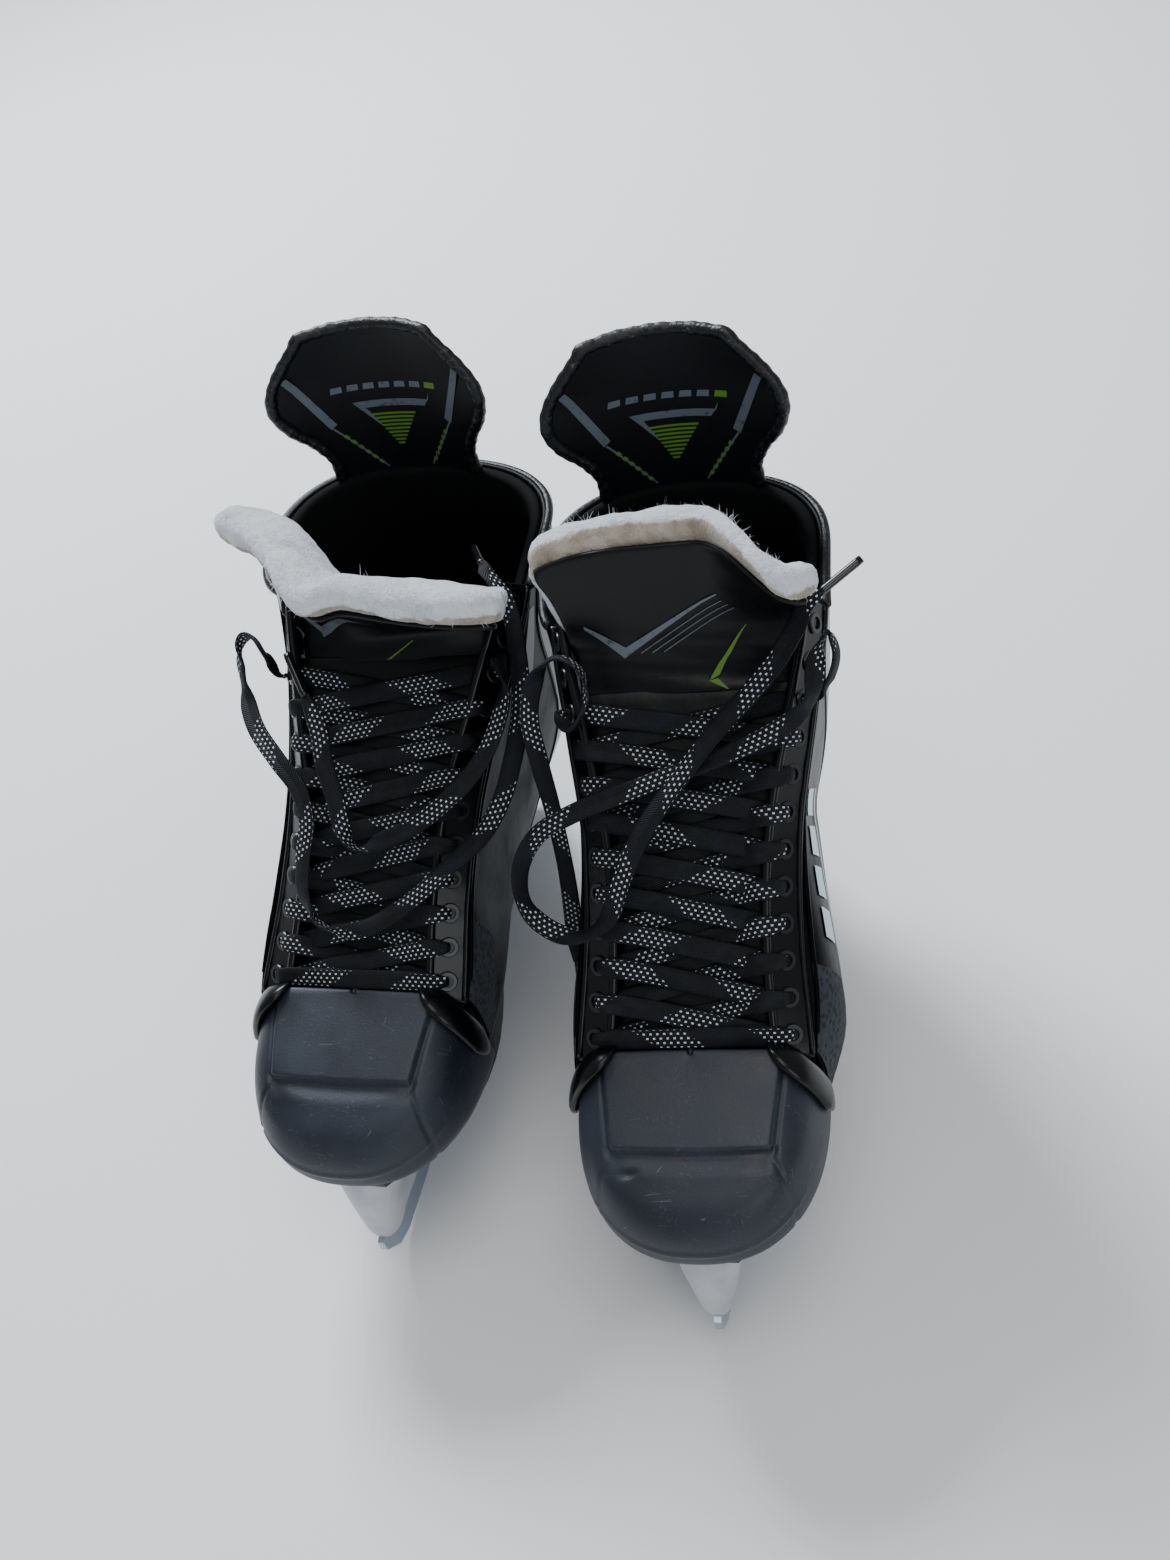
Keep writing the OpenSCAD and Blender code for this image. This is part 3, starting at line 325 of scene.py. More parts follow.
def smooth_path(points, spacing):
    """Points at an even spacing along a rounded curve through the given ones."""
    p = np.asarray(points, float)
    ext = np.vstack([2 * p[0] - p[1], p, 2 * p[-1] - p[-2]])
    knots = np.concatenate([[0], np.cumsum(np.sqrt(np.linalg.norm(np.diff(ext, axis=0), axis=1)))])
    out = []
    for i in range(1, len(ext) - 2):
        t0, t1, t2, t3 = knots[i - 1:i + 3]
        p0, p1, p2, p3 = ext[i - 1:i + 3]
        for t in np.linspace(t1, t2, 12, endpoint=False):
            a1 = (t1 - t) / (t1 - t0) * p0 + (t - t0) / (t1 - t0) * p1
            a2 = (t2 - t) / (t2 - t1) * p1 + (t - t1) / (t2 - t1) * p2
            a3 = (t3 - t) / (t3 - t2) * p2 + (t - t2) / (t3 - t2) * p3
            b1 = (t2 - t) / (t2 - t0) * a1 + (t - t0) / (t2 - t0) * a2
            b2 = (t3 - t) / (t3 - t1) * a2 + (t - t1) / (t3 - t1) * a3
            out.append((t2 - t) / (t2 - t1) * b1 + (t - t1) / (t2 - t1) * b2)
    out = np.array(out + [p[-1]])
    run = np.concatenate([[0], np.cumsum(np.linalg.norm(np.diff(out, axis=0), axis=1))])
    marks = np.linspace(0, run[-1], max(int(run[-1] / spacing), 2) + 1)
    return np.stack([np.interp(marks, run, out[:, k]) for k in range(3)], 1)


def ease(value):
    t = np.clip(value, 0, 1)
    return t * t * (3 - 2 * t)


def length_of(path):
    return float(np.linalg.norm(np.diff(path, axis=0), axis=1).sum())


def grid_faces(rows, cols, base=0, wrap=False, flip=False):
    faces = []
    for i in range(rows - 1):
        for j in range(cols if wrap else cols - 1):
            k = (j + 1) % cols
            f = (base + i * cols + j, base + i * cols + k, base + (i + 1) * cols + k, base + (i + 1) * cols + j)
            faces.append(f[::-1] if flip else f)
    return faces


# %% [markdown]
# A piece collects points, faces and a material for each face, and makes them one mesh at the end.
# Plain arrays are quick to make and say exactly where each point is. Modifiers and curves could
# give the same shapes, but their ends and seams are harder to place.

# %% Piece
class Piece:
    """Grids and tubes in one skate's millimetres that become one object."""

    def __init__(self, side, name):
        self.side, self.name = side, name
        self.v, self.f, self.uv, self.m, self.mats = [], [], [], [], []

    def put(self, points, faces, mat, uv=None):
        base = sum(len(v) for v in self.v)
        points = np.asarray(points, float).reshape(-1, 3)
        self.v.append(points)
        self.f += [tuple(base + k for k in f) for f in faces]
        self.uv.append(np.zeros((len(points), 2)) if uv is None else np.asarray(uv, float).reshape(-1, 2))
        if mat not in self.mats:
            self.mats.append(mat)
        self.m += [self.mats.index(mat)] * len(faces)

    def sheet(self, grid, mat, uv=None):
        self.put(grid, grid_faces(*grid.shape[:2]), mat, uv)

    def panel(self, outer, inner, mat, inner_mat=None, rim_mat=None):
        """A closed plate between two grids, with its rim rounded by a middle row."""
        rows, cols = outer.shape[:2]
        self.sheet(outer, mat)
        self.put(inner, grid_faces(rows, cols, flip=True), inner_mat or mat)
        edge = lambda g: np.concatenate([g[0, :-1], g[:-1, -1], g[-1, :0:-1], g[:0:-1, 0]])
        a, b = edge(outer), edge(inner)
        centre = edge(np.pad((outer + inner)[1:-1, 1:-1] / 2, ((1, 1), (1, 1), (0, 0)), mode="edge"))
        thick = np.linalg.norm(a - b, axis=1, keepdims=True)
        out = unit((a + b) / 2 - centre)
        rings = [a + (b - a) * (0.5 - 0.5 * math.cos(q)) + out * thick * 0.35 * math.sin(q)
                 for q in np.linspace(0, math.pi, 6)]
        rim = np.stack(rings)
        self.put(rim, grid_faces(len(rings), len(a), wrap=True), rim_mat or mat)

    def sweep(self, path, ways, width, thick, mat, sides=12, power=2.0, shift=0.0, caps=True):
        """A strip or tube: width lies along ways, thick across them. uv is mm along and mm across."""
        path = np.asarray(path, float)
        n = len(path)
        tangent = unit(np.gradient(path, axis=0))
        ways = unit(np.asarray(ways) - tangent * np.sum(np.asarray(ways) * tangent, axis=1, keepdims=True))
        ups = np.cross(tangent, ways)
        width, thick = np.broadcast_to(width, n)[:, None, None], np.broadcast_to(thick, n)[:, None, None]
        a = np.linspace(0, 2 * math.pi, sides, endpoint=False)
        ca = (np.sign(np.cos(a)) * np.abs(np.cos(a)) ** (2 / power))[None, :, None]
        sa = (np.sign(np.sin(a)) * np.abs(np.sin(a)) ** (2 / power))[None, :, None]
        rings = path[:, None] + ways[:, None] * ca * width / 2 + ups[:, None] * sa * thick / 2
        run = np.concatenate([[0], np.cumsum(np.linalg.norm(np.diff(path, axis=0), axis=1))])
        uv = np.stack([np.repeat((run + shift)[:, None], sides, 1), (ca * width / 2)[..., 0] * np.ones((n, sides))], -1)
        faces = grid_faces(n, sides, wrap=True)
        if caps:
            faces += [tuple(range(sides))[::-1], tuple((n - 1) * sides + k for k in range(sides))]
        self.put(rings, faces, mat, uv)

    def done(self, nodes, body=None, bend=None):
        """Makes the object; when bend is given, it stays fixed in the shared frame on no body, and the bodies and
        points in bend are not used.
        """
        mesh = bpy.data.meshes.new(self.name)
        mesh.from_pydata(world(self.side, np.concatenate(self.v)).tolist(), [], self.f)
        for mat in self.mats:
            mesh.materials.append(mat)
        mesh.polygons.foreach_set("material_index", self.m)
        mesh.polygons.foreach_set("use_smooth", [True] * len(self.f))
        layer = mesh.uv_layers.new(name="UVMap")
        index = np.zeros(len(mesh.loops), int)
        mesh.loops.foreach_get("vertex_index", index)
        layer.data.foreach_set("uv", np.concatenate(self.uv)[index].astype(np.float32).ravel())
        tool = bmesh.new()
        tool.from_mesh(mesh)
        bmesh.ops.remove_doubles(tool, verts=tool.verts, dist=2e-6)
        bmesh.ops.recalc_face_normals(tool, faces=tool.faces)
        tool.to_mesh(mesh)
        tool.free()
        obj = bpy.data.objects.new(self.name, mesh)
        bpy.context.scene.collection.objects.link(obj)
        if nodes:
            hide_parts(*[f"{self.side}_{n}" for n in nodes])
        if bend:
            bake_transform(obj)
        else:
            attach(obj, body or f"{self.side}_skate")
        return obj


# %% [markdown]
# The boot is built on the same curves as the CAD: the sloping throat that the lacing climbs, and
# cross-sections from the toe round to the collar. Both are functions of a share from 0 to 1, so
# that every strip, seam and print can ask them for points.

# %% Throat and stays
SHIFT = {"left": 6.0, "right": -18.0}
SOLE, HEEL, COLLAR, LENGTH = 73.0, 87.0, 237.0, 297.0
THROAT_START, THROAT_END = np.array([66.0, 122.0]), np.array([0.633 * LENGTH, COLLAR + 6])
THROAT_LENGTH = float(np.linalg.norm(THROAT_END - THROAT_START))
ALONG = (THROAT_END - THROAT_START) / THROAT_LENGTH
NORMAL = np.array([-ALONG[1], ALONG[0]])
ALONG3, NORMAL3 = np.array([0, *ALONG]), np.array([0, *NORMAL])
STAY_WIDE, STAY_THICK, EYELET_IN, PIVOT = 16.0, 2.6, 8.0, 0.895


def throat_half(s):
    return curve_at([32, 30, 32, 40, 48], s)


def tilt(s):
    return np.radians(24 + 42 * np.asarray(s, float))


def throat_point(side, x, s, n, shifted=True):
    x, s, n = np.broadcast_arrays(np.asarray(x, float), np.asarray(s, float), np.asarray(n, float))
    move = SHIFT[side] * np.clip(s, 0, 1) if shifted else 0
    p = THROAT_START + ALONG * (THROAT_LENGTH * s)[..., None] + NORMAL * n[..., None]
    return np.concatenate([(x + move)[..., None], p], -1)


def stay_point(side, hand, s, d, h):
    """Point on a stay: d across from its inner edge and h over its face; hand is 1 or -1."""
    b = tilt(s)
    return throat_point(side, hand * (throat_half(s) + d * np.cos(b) + h * np.sin(b)), s,
                        -d * np.sin(b) + h * np.cos(b))


# %% Boot sections
BACK_LINE = np.array([
    [70, SOLE], [0.337 * LENGTH, SOLE], [0.471 * LENGTH, SOLE + 1.7], [0.623 * LENGTH, SOLE + 7.3],
    [0.774 * LENGTH, SOLE + 12.6], [0.905 * LENGTH, HEEL], [0.98 * LENGTH, HEEL + 19.5],
    [LENGTH, HEEL + 57], [0.972 * LENGTH, HEEL + 102], [0.956 * LENGTH, COLLAR]])
SHARE = [0, 0.12, 0.27, 0.42, 0.56, 0.69, 0.80, 0.88, 0.95, 1]
HALF = [50, 51, 48, 43.3, 41, 40, 41, 44.8, 49.9, 56]
# The worn boot has spread over the little toe
SPREAD = {"left": 7.0, "right": 1.0}
SQUARE = [4.2, 4, 3.6, 3.2, 3, 2.6, 2.3, 2.2, 2.3, 2.4]


def half_section(side, hand, share, deep, fine):
    s = float(curve_at(SHARE, share))
    edge = stay_point(side, hand, s, STAY_WIDE, -deep)
    low = curve_at(BACK_LINE, share)
    across = unit(edge[1:] - low)
    low = low + across * deep
    long = np.linalg.norm(edge[1:] - low)
    spread = SPREAD[side] * (hand > 0) * float(ease(share / 0.14) * ease((0.72 - share) / 0.4))
    w = max(float(curve_at(HALF, share)) + spread - deep, hand * edge[0] - 0.5)
    square = float(curve_at(SQUARE, share))
    a = np.linspace(0, math.pi / 2, fine)
    b = np.linspace(0, math.pi / 2, 2 * fine)[1:]
    x = np.concatenate([hand * edge[0] + (w - hand * edge[0]) * np.sin(a),
                        w * np.maximum(np.cos(b), 0) ** (2 / square)])
    fall = np.concatenate([0.42 * long * (1 - np.cos(a)), long * (0.42 + 0.58 * np.sin(b) ** (2 / square))])
    p = low + across * (long - fall)[:, None]
    return np.concatenate([(hand * x)[:, None], p], 1)


def boot_grid(side, first, last, deep, rows=48, fine=9):
    out = []
    for share in np.linspace(first, last, rows):
        a, b = (half_section(side, hand, share, deep, fine) for hand in (1, -1))
        out.append(np.concatenate([a, b[-2::-1]]))
    return np.array(out)


# %% [markdown]
# Quarters: a thin coated shell pressed over a last. A bead runs round the collar, the sides carry
# a raised overlay, and the left skate's outer side carries a plain row of pale blocks over a thin line.

# %% Quarters, lining and sole layers
def on_boot(grid, u, v, lift):
    """Points on a boot grid at shares u from toe to collar and v round it, lift over it."""
    rows, cols = grid.shape[:2]
    u, v = np.broadcast_arrays(np.asarray(u, float), np.asarray(v, float))
    i, j = np.clip(u * (rows - 1), 0, rows - 1.001), np.clip(v * (cols - 1), 0, cols - 1.001)
    i0, j0 = np.floor(i).astype(int), np.floor(j).astype(int)
    fi, fj = (i - i0)[..., None], (j - j0)[..., None]
    near = grid[i0, j0] * (1 - fi) + grid[i0 + 1, j0] * fi
    far = grid[i0, j0 + 1] * (1 - fi) + grid[i0 + 1, j0 + 1] * fi
    p = near * (1 - fj) + far * fj
    n = unit(np.cross(grid[i0, j0 + 1] - grid[i0, j0], grid[i0 + 1, j0] - grid[i0, j0]))
    out = np.sign(np.sum(n * (p - np.array([0, 160, 140])), -1, keepdims=True))
    return p + n * out * lift


def decal(piece, surface_at, corners, mat, lift, steps=6):
    """A thin printed patch: four corners in a surface's own two coordinates."""
    q = np.array(corners, float)
    s, t = np.meshgrid(np.linspace(0, 1, steps), np.linspace(0, 1, steps), indexing="ij")
    flat = [(q[0, k] * (1 - s) + q[1, k] * s) * (1 - t) + (q[3, k] * (1 - s) + q[2, k] * s) * t for k in (0, 1)]
    piece.sheet(surface_at(flat[0], flat[1], lift), mat)


def tube_ways(path):
    """A way across a path at every point, carried along so that it never flips."""
    tangent = unit(np.gradient(path, axis=0))
    way = np.cross(tangent[0], [0.3, 0.2, 1])
    ways = []
    for t in tangent:
        way = unit(way - t * np.dot(way, t))
        ways.append(way)
    return np.array(ways)


for side in SIDES:
    shell = boot_grid(side, 0, 1, 0)
    piece = Piece(side, f"{side}_boot_shell")
    piece.panel(shell, boot_grid(side, 0, 1, 3), shell_mat, liner_mat)
    on = lambda u, v, lift, g=shell: on_boot(g, u, v, lift)
    rim = smooth_path(on(0.995, np.linspace(0.02, 0.98, 40), 0.4), 2.5)
    piece.sweep(rim, tube_ways(rim), 4.2, 4.2, binding_mat, 8)
    for near in (0.03, 0.97):
        seam = smooth_path(on(np.linspace(0.05, 0.98, 30), near, 0.3), 3)
        piece.sweep(seam, tube_ways(seam), 2.2, 2.2, shell_mat, 6)
    for hand in (0, 1):
        turn = lambda v, h=hand: v if h == 0 else 1 - v
        u = np.linspace(0.0, 1.0, 40)
        for way in (0.3 + 0.02 * np.sin(u * 5), 0.3 - 0.2 * ease((u - 0.25) / 0.6), 0.3 + 0.16 * ease((u - 0.5) / 0.5)):
            seam = smooth_path(on(0.02 + 0.96 * u, turn(way), 0.15), 3)
            piece.sweep(seam, tube_ways(seam), 1.1, 1.1, binding_mat, 6)
        # overlay that sweeps from the sole up to the ankle
        u, v = np.meshgrid(np.linspace(0.3, 0.9, 24), np.linspace(0, 1, 6), indexing="ij")
        piece.sheet(on(u, turn(0.3 - 0.2 * ease((u - 0.25) / 0.6) + 0.06 * v), 0.5), stay_mat)
        # worn mesh cloth beside the toe
        u, v = np.meshgrid(np.linspace(0.0, 0.17, 10), np.linspace(0.03, 0.2, 10), indexing="ij")
        piece.sheet(on(u, turn(v * (1 - 1.6 * u)), 0.7), mesh_mat)
    if side == "left":
        for k in range(4):
            u0 = 0.222 + 0.066 * k
            decal(piece, on, [(u0, 0.088), (u0 + 0.048, 0.088), (u0 + 0.048, 0.135), (u0, 0.135)], pale_mat, 0.6)
        decal(piece, on, [(0.222, 0.15), (0.468, 0.15), (0.468, 0.155), (0.222, 0.155)], pale_mat, 0.6, 14)
    decal(piece, on, [(0.5, 0.88), (0.86, 0.92), (0.86, 0.945), (0.5, 0.91)], grey_mat, 0.8, 12)
    piece.done(["quarter_shell"])

    piece = Piece(side, f"{side}_boot_lining")
    piece.panel(boot_grid(side, 0.48, 1, 3.3), boot_grid(side, 0.48, 1, 8.3), liner_mat)
    piece.done(["ankle_liner"])
    print(side, "shell grid", shell.shape)

# %% [markdown]
# Sole lip: the outsole is a plate under the middle of the boot, and the boot rounds up away from
# its edges. A moulded lip closes that gap all round the heel and the flanks. Its lower edge follows
# the plate's outline, and its upper edge is looked up on the boot's own underside.

# %% Sole lip
PLATE_HALF, PLATE_REAR, LIP_THICK = [14, 35, 44, 47, 45, 40, 34, 31, 31, 33, 33, 30, 17], 0.915 * LENGTH, 3.0
for side in SIDES:
    skin = boot_grid(side, 0, 0.7, 0, 160, 26).reshape(-1, 3)
    t = np.linspace(0.26, 1, 70)
    flank = np.stack([curve_at(PLATE_HALF, t), 7 + (PLATE_REAR - 7) * t], 1)
    rear = np.linspace(1, -1, 18)[1:-1, None] * [flank[-1, 0], 0] + [0, PLATE_REAR]
    plan = np.concatenate([flank, rear, flank[::-1] * [-1, 1]])
    under = np.concatenate([curve_at(BACK_LINE, np.linspace(0, 5 / 9, 40)), [[LENGTH, HEEL]]])
    low = np.interp(plan[:, 1], under[:, 0], under[:, 1])
    high = []
    for (x, y), z in zip(plan, low):
        near = skin[(np.abs(skin[:, 0] - x) < 2) & (np.abs(skin[:, 1] - y) < 3.5)]
        high.append(max(near[:, 2].min(), z) if len(near) else z)
    high = np.convolve(np.pad(high, 4, mode="edge"), np.ones(9) / 9, "valid") + 1.8
    away = unit(np.stack([np.gradient(plan[:, 1]), -np.gradient(plan[:, 0])], 1))
    away *= np.sign(np.sum(away * (plan - [0, 170]), 1, keepdims=True))
    columns = [(0.0, -0.4), (0.12, 0.1), (0.5, -0.5), (0.9, -0.1), (1.0, -0.3)]
    walls = [[np.concatenate([plan + away * (out - deep), (low - 1.2 + (high - low + 1.2) * up)[:, None]], 1)
              for up, out in columns] for deep in (0, LIP_THICK)]
    piece = Piece(side, f"{side}_sole_lip")
    piece.panel(np.stack(walls[0], 1), np.stack(walls[1], 1), sole_mat)
    piece.done([])
    print(side, "sole lip, tallest mm:", round(float((high - low).max()), 1))

# %% [markdown]
# Stays: two glossy strips that hold the eyelets, with a raised bead along the throat. Their lower
# ends swell into rounded lobes that lap over the rear of the toe cap.

# %% Stays
for side in SIDES:
    piece = Piece(side, f"{side}_lace_stays")
    s, d = np.meshgrid(np.linspace(-0.01, 1, 60), np.linspace(0, STAY_WIDE, 9), indexing="ij")
    for hand in (1, -1):
        ripple = 0.5 * np.sin(s * 12 * 2 * math.pi) * (d / STAY_WIDE)
        piece.panel(stay_point(side, hand, s, d, 0.25 + 0.25 * ripple),
                    stay_point(side, hand, s, d, -STAY_THICK), stay_mat)
        line = np.linspace(-0.005, 1.0, 70)
        for d0, h0, wide in ((0.6, -0.6, 3.8), (STAY_WIDE - 0.6, 0.1, 2.6)):
            bead = stay_point(side, hand, line, d0, h0)
            piece.sweep(bead, tube_ways(bead), wide, wide, stay_mat, 10)
        # lobe: out from the throat's front corner, over the cap's shoulder, and down its side
        lobe = np.array([[30, 69, 126], [36, 64, 125], [42, 61, 120.5], [47, 60.5, 112], [50.5, 61, 101], [52, 63, 90]])
        lobe[:, 0] *= hand
        lobe = smooth_path(lobe, 1.5)
        share = np.linspace(0, 1, len(lobe))
        swell = np.sqrt(np.clip(np.minimum(share * 5, (1 - share) * 4), 0.02, 1))
        flat = unit(lobe - np.array([0, 62, 80])) * 1.0
        ways = np.cross(unit(np.gradient(lobe, axis=0)), flat)
        piece.sweep(lobe, ways, 13 * swell, 5.0 * swell, stay_mat, 14, 2.4)
    piece.done(["facings"])

# %% [markdown]
# Toe cap: one moulding with a flat top that ends in a soft step, a rounded bumper in front, a
# groove down each shoulder and a raised rib round the bumper.

# %% Toe caps
TOE_ROWS = np.array([
    [48, 4, 0, 0], [50, 0.5, 0.14, 0.14], [49.5, 1.5, 0.36, 0.46], [46, 8, 0.56, 0.74], [39, 17, 0.67, 0.93],
    [32, 25, 0.74, 0.99], [16, 42, 0.86, 1], [0.2, 65.6, 0.995, 1]])


def toe_grid(deep, rows=70, cols=97):
    k = np.linspace(0, 1, rows)
    row = curve_at(TOE_ROWS, k)
    w = np.maximum(row[:, 0] - deep, 0.2)[:, None]
    low = (SOLE + row[:, 2] * 52 - deep * (k > 0.02))[:, None]
    high = (SOLE + row[:, 3] * 52 - deep * (k > 0.02))[:, None]
    rear = 70 + (66 - 70) * (high - SOLE) / 49 - 0.3
    front = (row[:, 1] + deep)[:, None]
    square = 2.3 + 0.7 * k[:, None]
    a = np.linspace(0, math.pi, cols)[None]
    reach = np.maximum(np.sin(a), 0) ** (2 / square)
    x = w * np.sign(np.cos(a)) * np.abs(np.cos(a)) ** (2 / square)
    return np.stack([x, rear - (rear - front) * reach, high + (low - high) * reach], -1), k, a[0]


for side in SIDES:
    piece = Piece(side, f"{side}_toe_bumper")
    outer, k, a = toe_grid(0, 120, 141)
    inner, _, _ = toe_grid(2.6, 120, 141)
    normal = unit(np.cross(np.gradient(outer, axis=1), np.gradient(outer, axis=0)))
    normal *= np.sign(np.sum(normal * (outer - np.array([0, 50, 85])), -1, keepdims=True))
    kk, aa = np.meshgrid(k, a, indexing="ij")
    x, y = outer[..., 0], outer[..., 1]
    # the flat top stands proud, with a crisp front edge and a hollow under it
    side_edge = 30.5 + 5 * (y - 29) / 36 - np.abs(x)
    front_edge = y - 29 - 1.5 * (x / 30) ** 2
    proud = ease(np.minimum(side_edge, front_edge) / 2.2 + 0.5)
    hollow = ease((front_edge + 9) / 8) * (1 - proud) * ease((side_edge + 4) / 5) * (front_edge < 1)
    # a groove down each shoulder from the flat top's front corners, and the bumper's arc
    groove = np.exp(-((np.abs(x) - 31 - 0.62 * (29 - y)) / 0.9) ** 2) * ease((30 - y) / 5) * ease((y - 7) / 5)
    seam = np.exp(-((side_edge + 1.6) / 1.0) ** 2) * ease((y - 27) / 4)
    arc = np.exp(-((kk - 0.27 + 0.05 * np.sin(aa) ** 6) / 0.016) ** 2) * ease((np.sin(aa) - 0.5) * 4)
    # a gouge that a stick or a puck has left under the flat top of the left cap
    gouge = np.exp(-((x + 24) / 3.4) ** 2 - ((y - 22 - 0.12 * x - 2.9) / 1.3) ** 2) * (side == "left")
    change = 1.3 * proud - 1.5 * hollow + 0.7 * arc - 0.8 * groove - 0.7 * seam - 1.7 * gouge
    piece.panel(outer + normal * change[..., None], inner, toe_mat)
    piece.done(["toe_cap"])
    print(side, "toe cap", outer.reshape(-1, 3).min(0).round(1), outer.reshape(-1, 3).max(0).round(1))

# %% [markdown]
# Laced run: one flat lace per skate. It starts with a bar over the toe, passes out over each stay,
# down an eyelet and across under the next, and each crossing dips to the tongue.

# %% Laced run
ROWS, LACED = 12, 10
LACE_LOW, LACE_TOP = -STAY_THICK - 0.9, -1.4


def eyelet_share(row):
    return (row + 0.5) / ROWS


def crossing(side, hand, row, over):
    a, b = eyelet_share(row), eyelet_share(row + 1)
    wa, wb = float(throat_half(a)), float(throat_half(b))
    mid = LACE_TOP if over else LACE_LOW
    return [stay_point(side, hand, a, EYELET_IN, -STAY_THICK - 1.6),
            stay_point(side, hand, a, EYELET_IN - 3.4, -STAY_THICK - 1.5),
            throat_point(side, hand * (wa - 1), a, LACE_LOW - 0.3),
            throat_point(side, hand * 0.6 * wa, a + 0.2 * (b - a), mid),
            throat_point(side, -hand * 0.6 * wb, a + 0.8 * (b - a), mid),
            throat_point(side, -hand * (wb - 3), a + 0.95 * (b - a), 0.9),
            stay_point(side, -hand, b, 2.5, 2.2), stay_point(side, -hand, b, EYELET_IN - 2.2, 2.4),
            stay_point(side, -hand, b, EYELET_IN, 0.6)]


def last_crossing(side, hand, row, over):
    b = eyelet_share(row + 1)
    return crossing(side, hand, row, over)[:5] + [
        throat_point(side, -hand * (float(throat_half(b)) - 1), b, LACE_LOW - 0.3),
        stay_point(side, -hand, b, EYELET_IN - 3.4, -STAY_THICK - 1.5),
        stay_point(side, -hand, b, EYELET_IN, -STAY_THICK - 1.6),
        stay_point(side, -hand, b, EYELET_IN, 0), stay_point(side, -hand, b, EYELET_IN, 2.4)]


def lace_half(side, hand):
    out = []
    for row in range(LACED - 1):
        start = hand if row % 2 == 0 else -hand
        over = (row % 2 == 0) == (hand > 0)
        out += (last_crossing if row == LACED - 2 else crossing)(side, start, row, over)
    return out


def first_bar(side):
    s0 = eyelet_share(0)
    out = []
    for hand in (-1, 1):
        points = [stay_point(side, hand, s0, EYELET_IN, 0.6), stay_point(side, hand, s0, EYELET_IN - 2.2, 2.2),
                  stay_point(side, hand, s0, 2.5, 1.9),
                  throat_point(side, hand * (float(throat_half(s0)) - 6), s0, 0.4)]
        out += points if hand < 0 else points[::-1]
    return out


for side in SIDES:
    path = smooth_path(lace_half(side, -1)[::-1] + first_bar(side) + lace_half(side, 1), 1.6)
    eyes = np.array([stay_point(side, hand, eyelet_share(r), EYELET_IN, -1.3)
                     for hand in (1, -1) for r in range(LACED)])
    near = np.min(np.linalg.norm(path[:, None] - eyes[None], axis=2), axis=1)
    width = 4.0 + 4.6 * np.clip((near - 2.5) / 6, 0, 1)
    wander = np.interp(np.arange(len(path)), np.arange(0, len(path) + 20, 20),
                       np.random.default_rng(5).uniform(-0.28, 0.28, len(path) // 20 + 2))
    ways = ALONG3 + np.outer(wander, NORMAL3)
    piece = Piece(side, f"{side}_laced_run")
    piece.sweep(path, ways, width, 1.5, lace_mat, 12, 2.6, 9.0 if side == "left" else 31.0)
    piece.done(["lace"])
    print(side, "laced run", round(length_of(path)), "mm")

# %% [markdown]
# Free lace ends: each leaves the tenth eyelet and lies where it fell, half twisted, with a film
# tip. The routes are the CAD's own: across from the middle, up the throat, and over its plane.

# %% Free lace ends
ENDS = {
    ("left", "outer"): (1, [
        [62, 142, 8], [65, 152, 8], [62, 160, 9], [58, 150, 13], [54, 134, 14], [40, 124, 11], [20, 116, 9],
        [0, 110, 9], [-22, 103, 9], [-40, 97, 8], [-55, 89, 7], [-63, 76, 5], [-62, 62, 5], [-52, 52, 6],
        [-39, 49, 8], [-28, 56, 9], [-21, 71, 12], [-12, 88, 14], [1, 105, 14], [17, 124, 13],
        [31, 138, 11], [42, 150, 9], [50, 162, 8], [54, 170, 7], [60, 175, 6]]),
    ("left", "inner"): (-1, [
        [-38, 130, 8], [-32, 140, 9], [-33, 152, 9], [-43, 158, 8], [-52, 151, 5], [-57, 136, 0],
        [-56, 118, -8], [-54, 97, -18], [-54, 72, -34], [-56, 48, -50], [-58, 30, -62]]),
    ("right", "outer"): (1, [
        [37, 144, 8], [42, 151, 8], [48, 152, 5], [53, 145, 0], [53, 131, -4], [45, 114, 2], [32, 100, 8],
        [22, 88, 9], [18, 74, 9], [20, 58, 9], [20, 44, 9], [14, 32, 8], [3, 28, 8], [-11, 31, 8],
        [-30, 43, 9], [-46, 57, 9], [-60, 70, 8], [-68, 85, 7], [-72, 101, 5], [-74, 117, 2], [-74, 132, 1],
        [-73, 147, 3], [-72, 159, 7], [-68, 169, 10], [-62, 176, 8], [-58, 180, 2]]),
    ("right", "inner"): (-1, [
        [-67, 140, 8], [-70, 128, 9], [-66, 112, 10], [-60, 100, 10], [-50, 88, 10], [-32, 74, 9],
        [-15, 66, 9], [-5, 63, 10], [0, 70, 12], [3, 84, 13], [8, 99, 13], [11, 113, 12], [18, 127, 10]])}

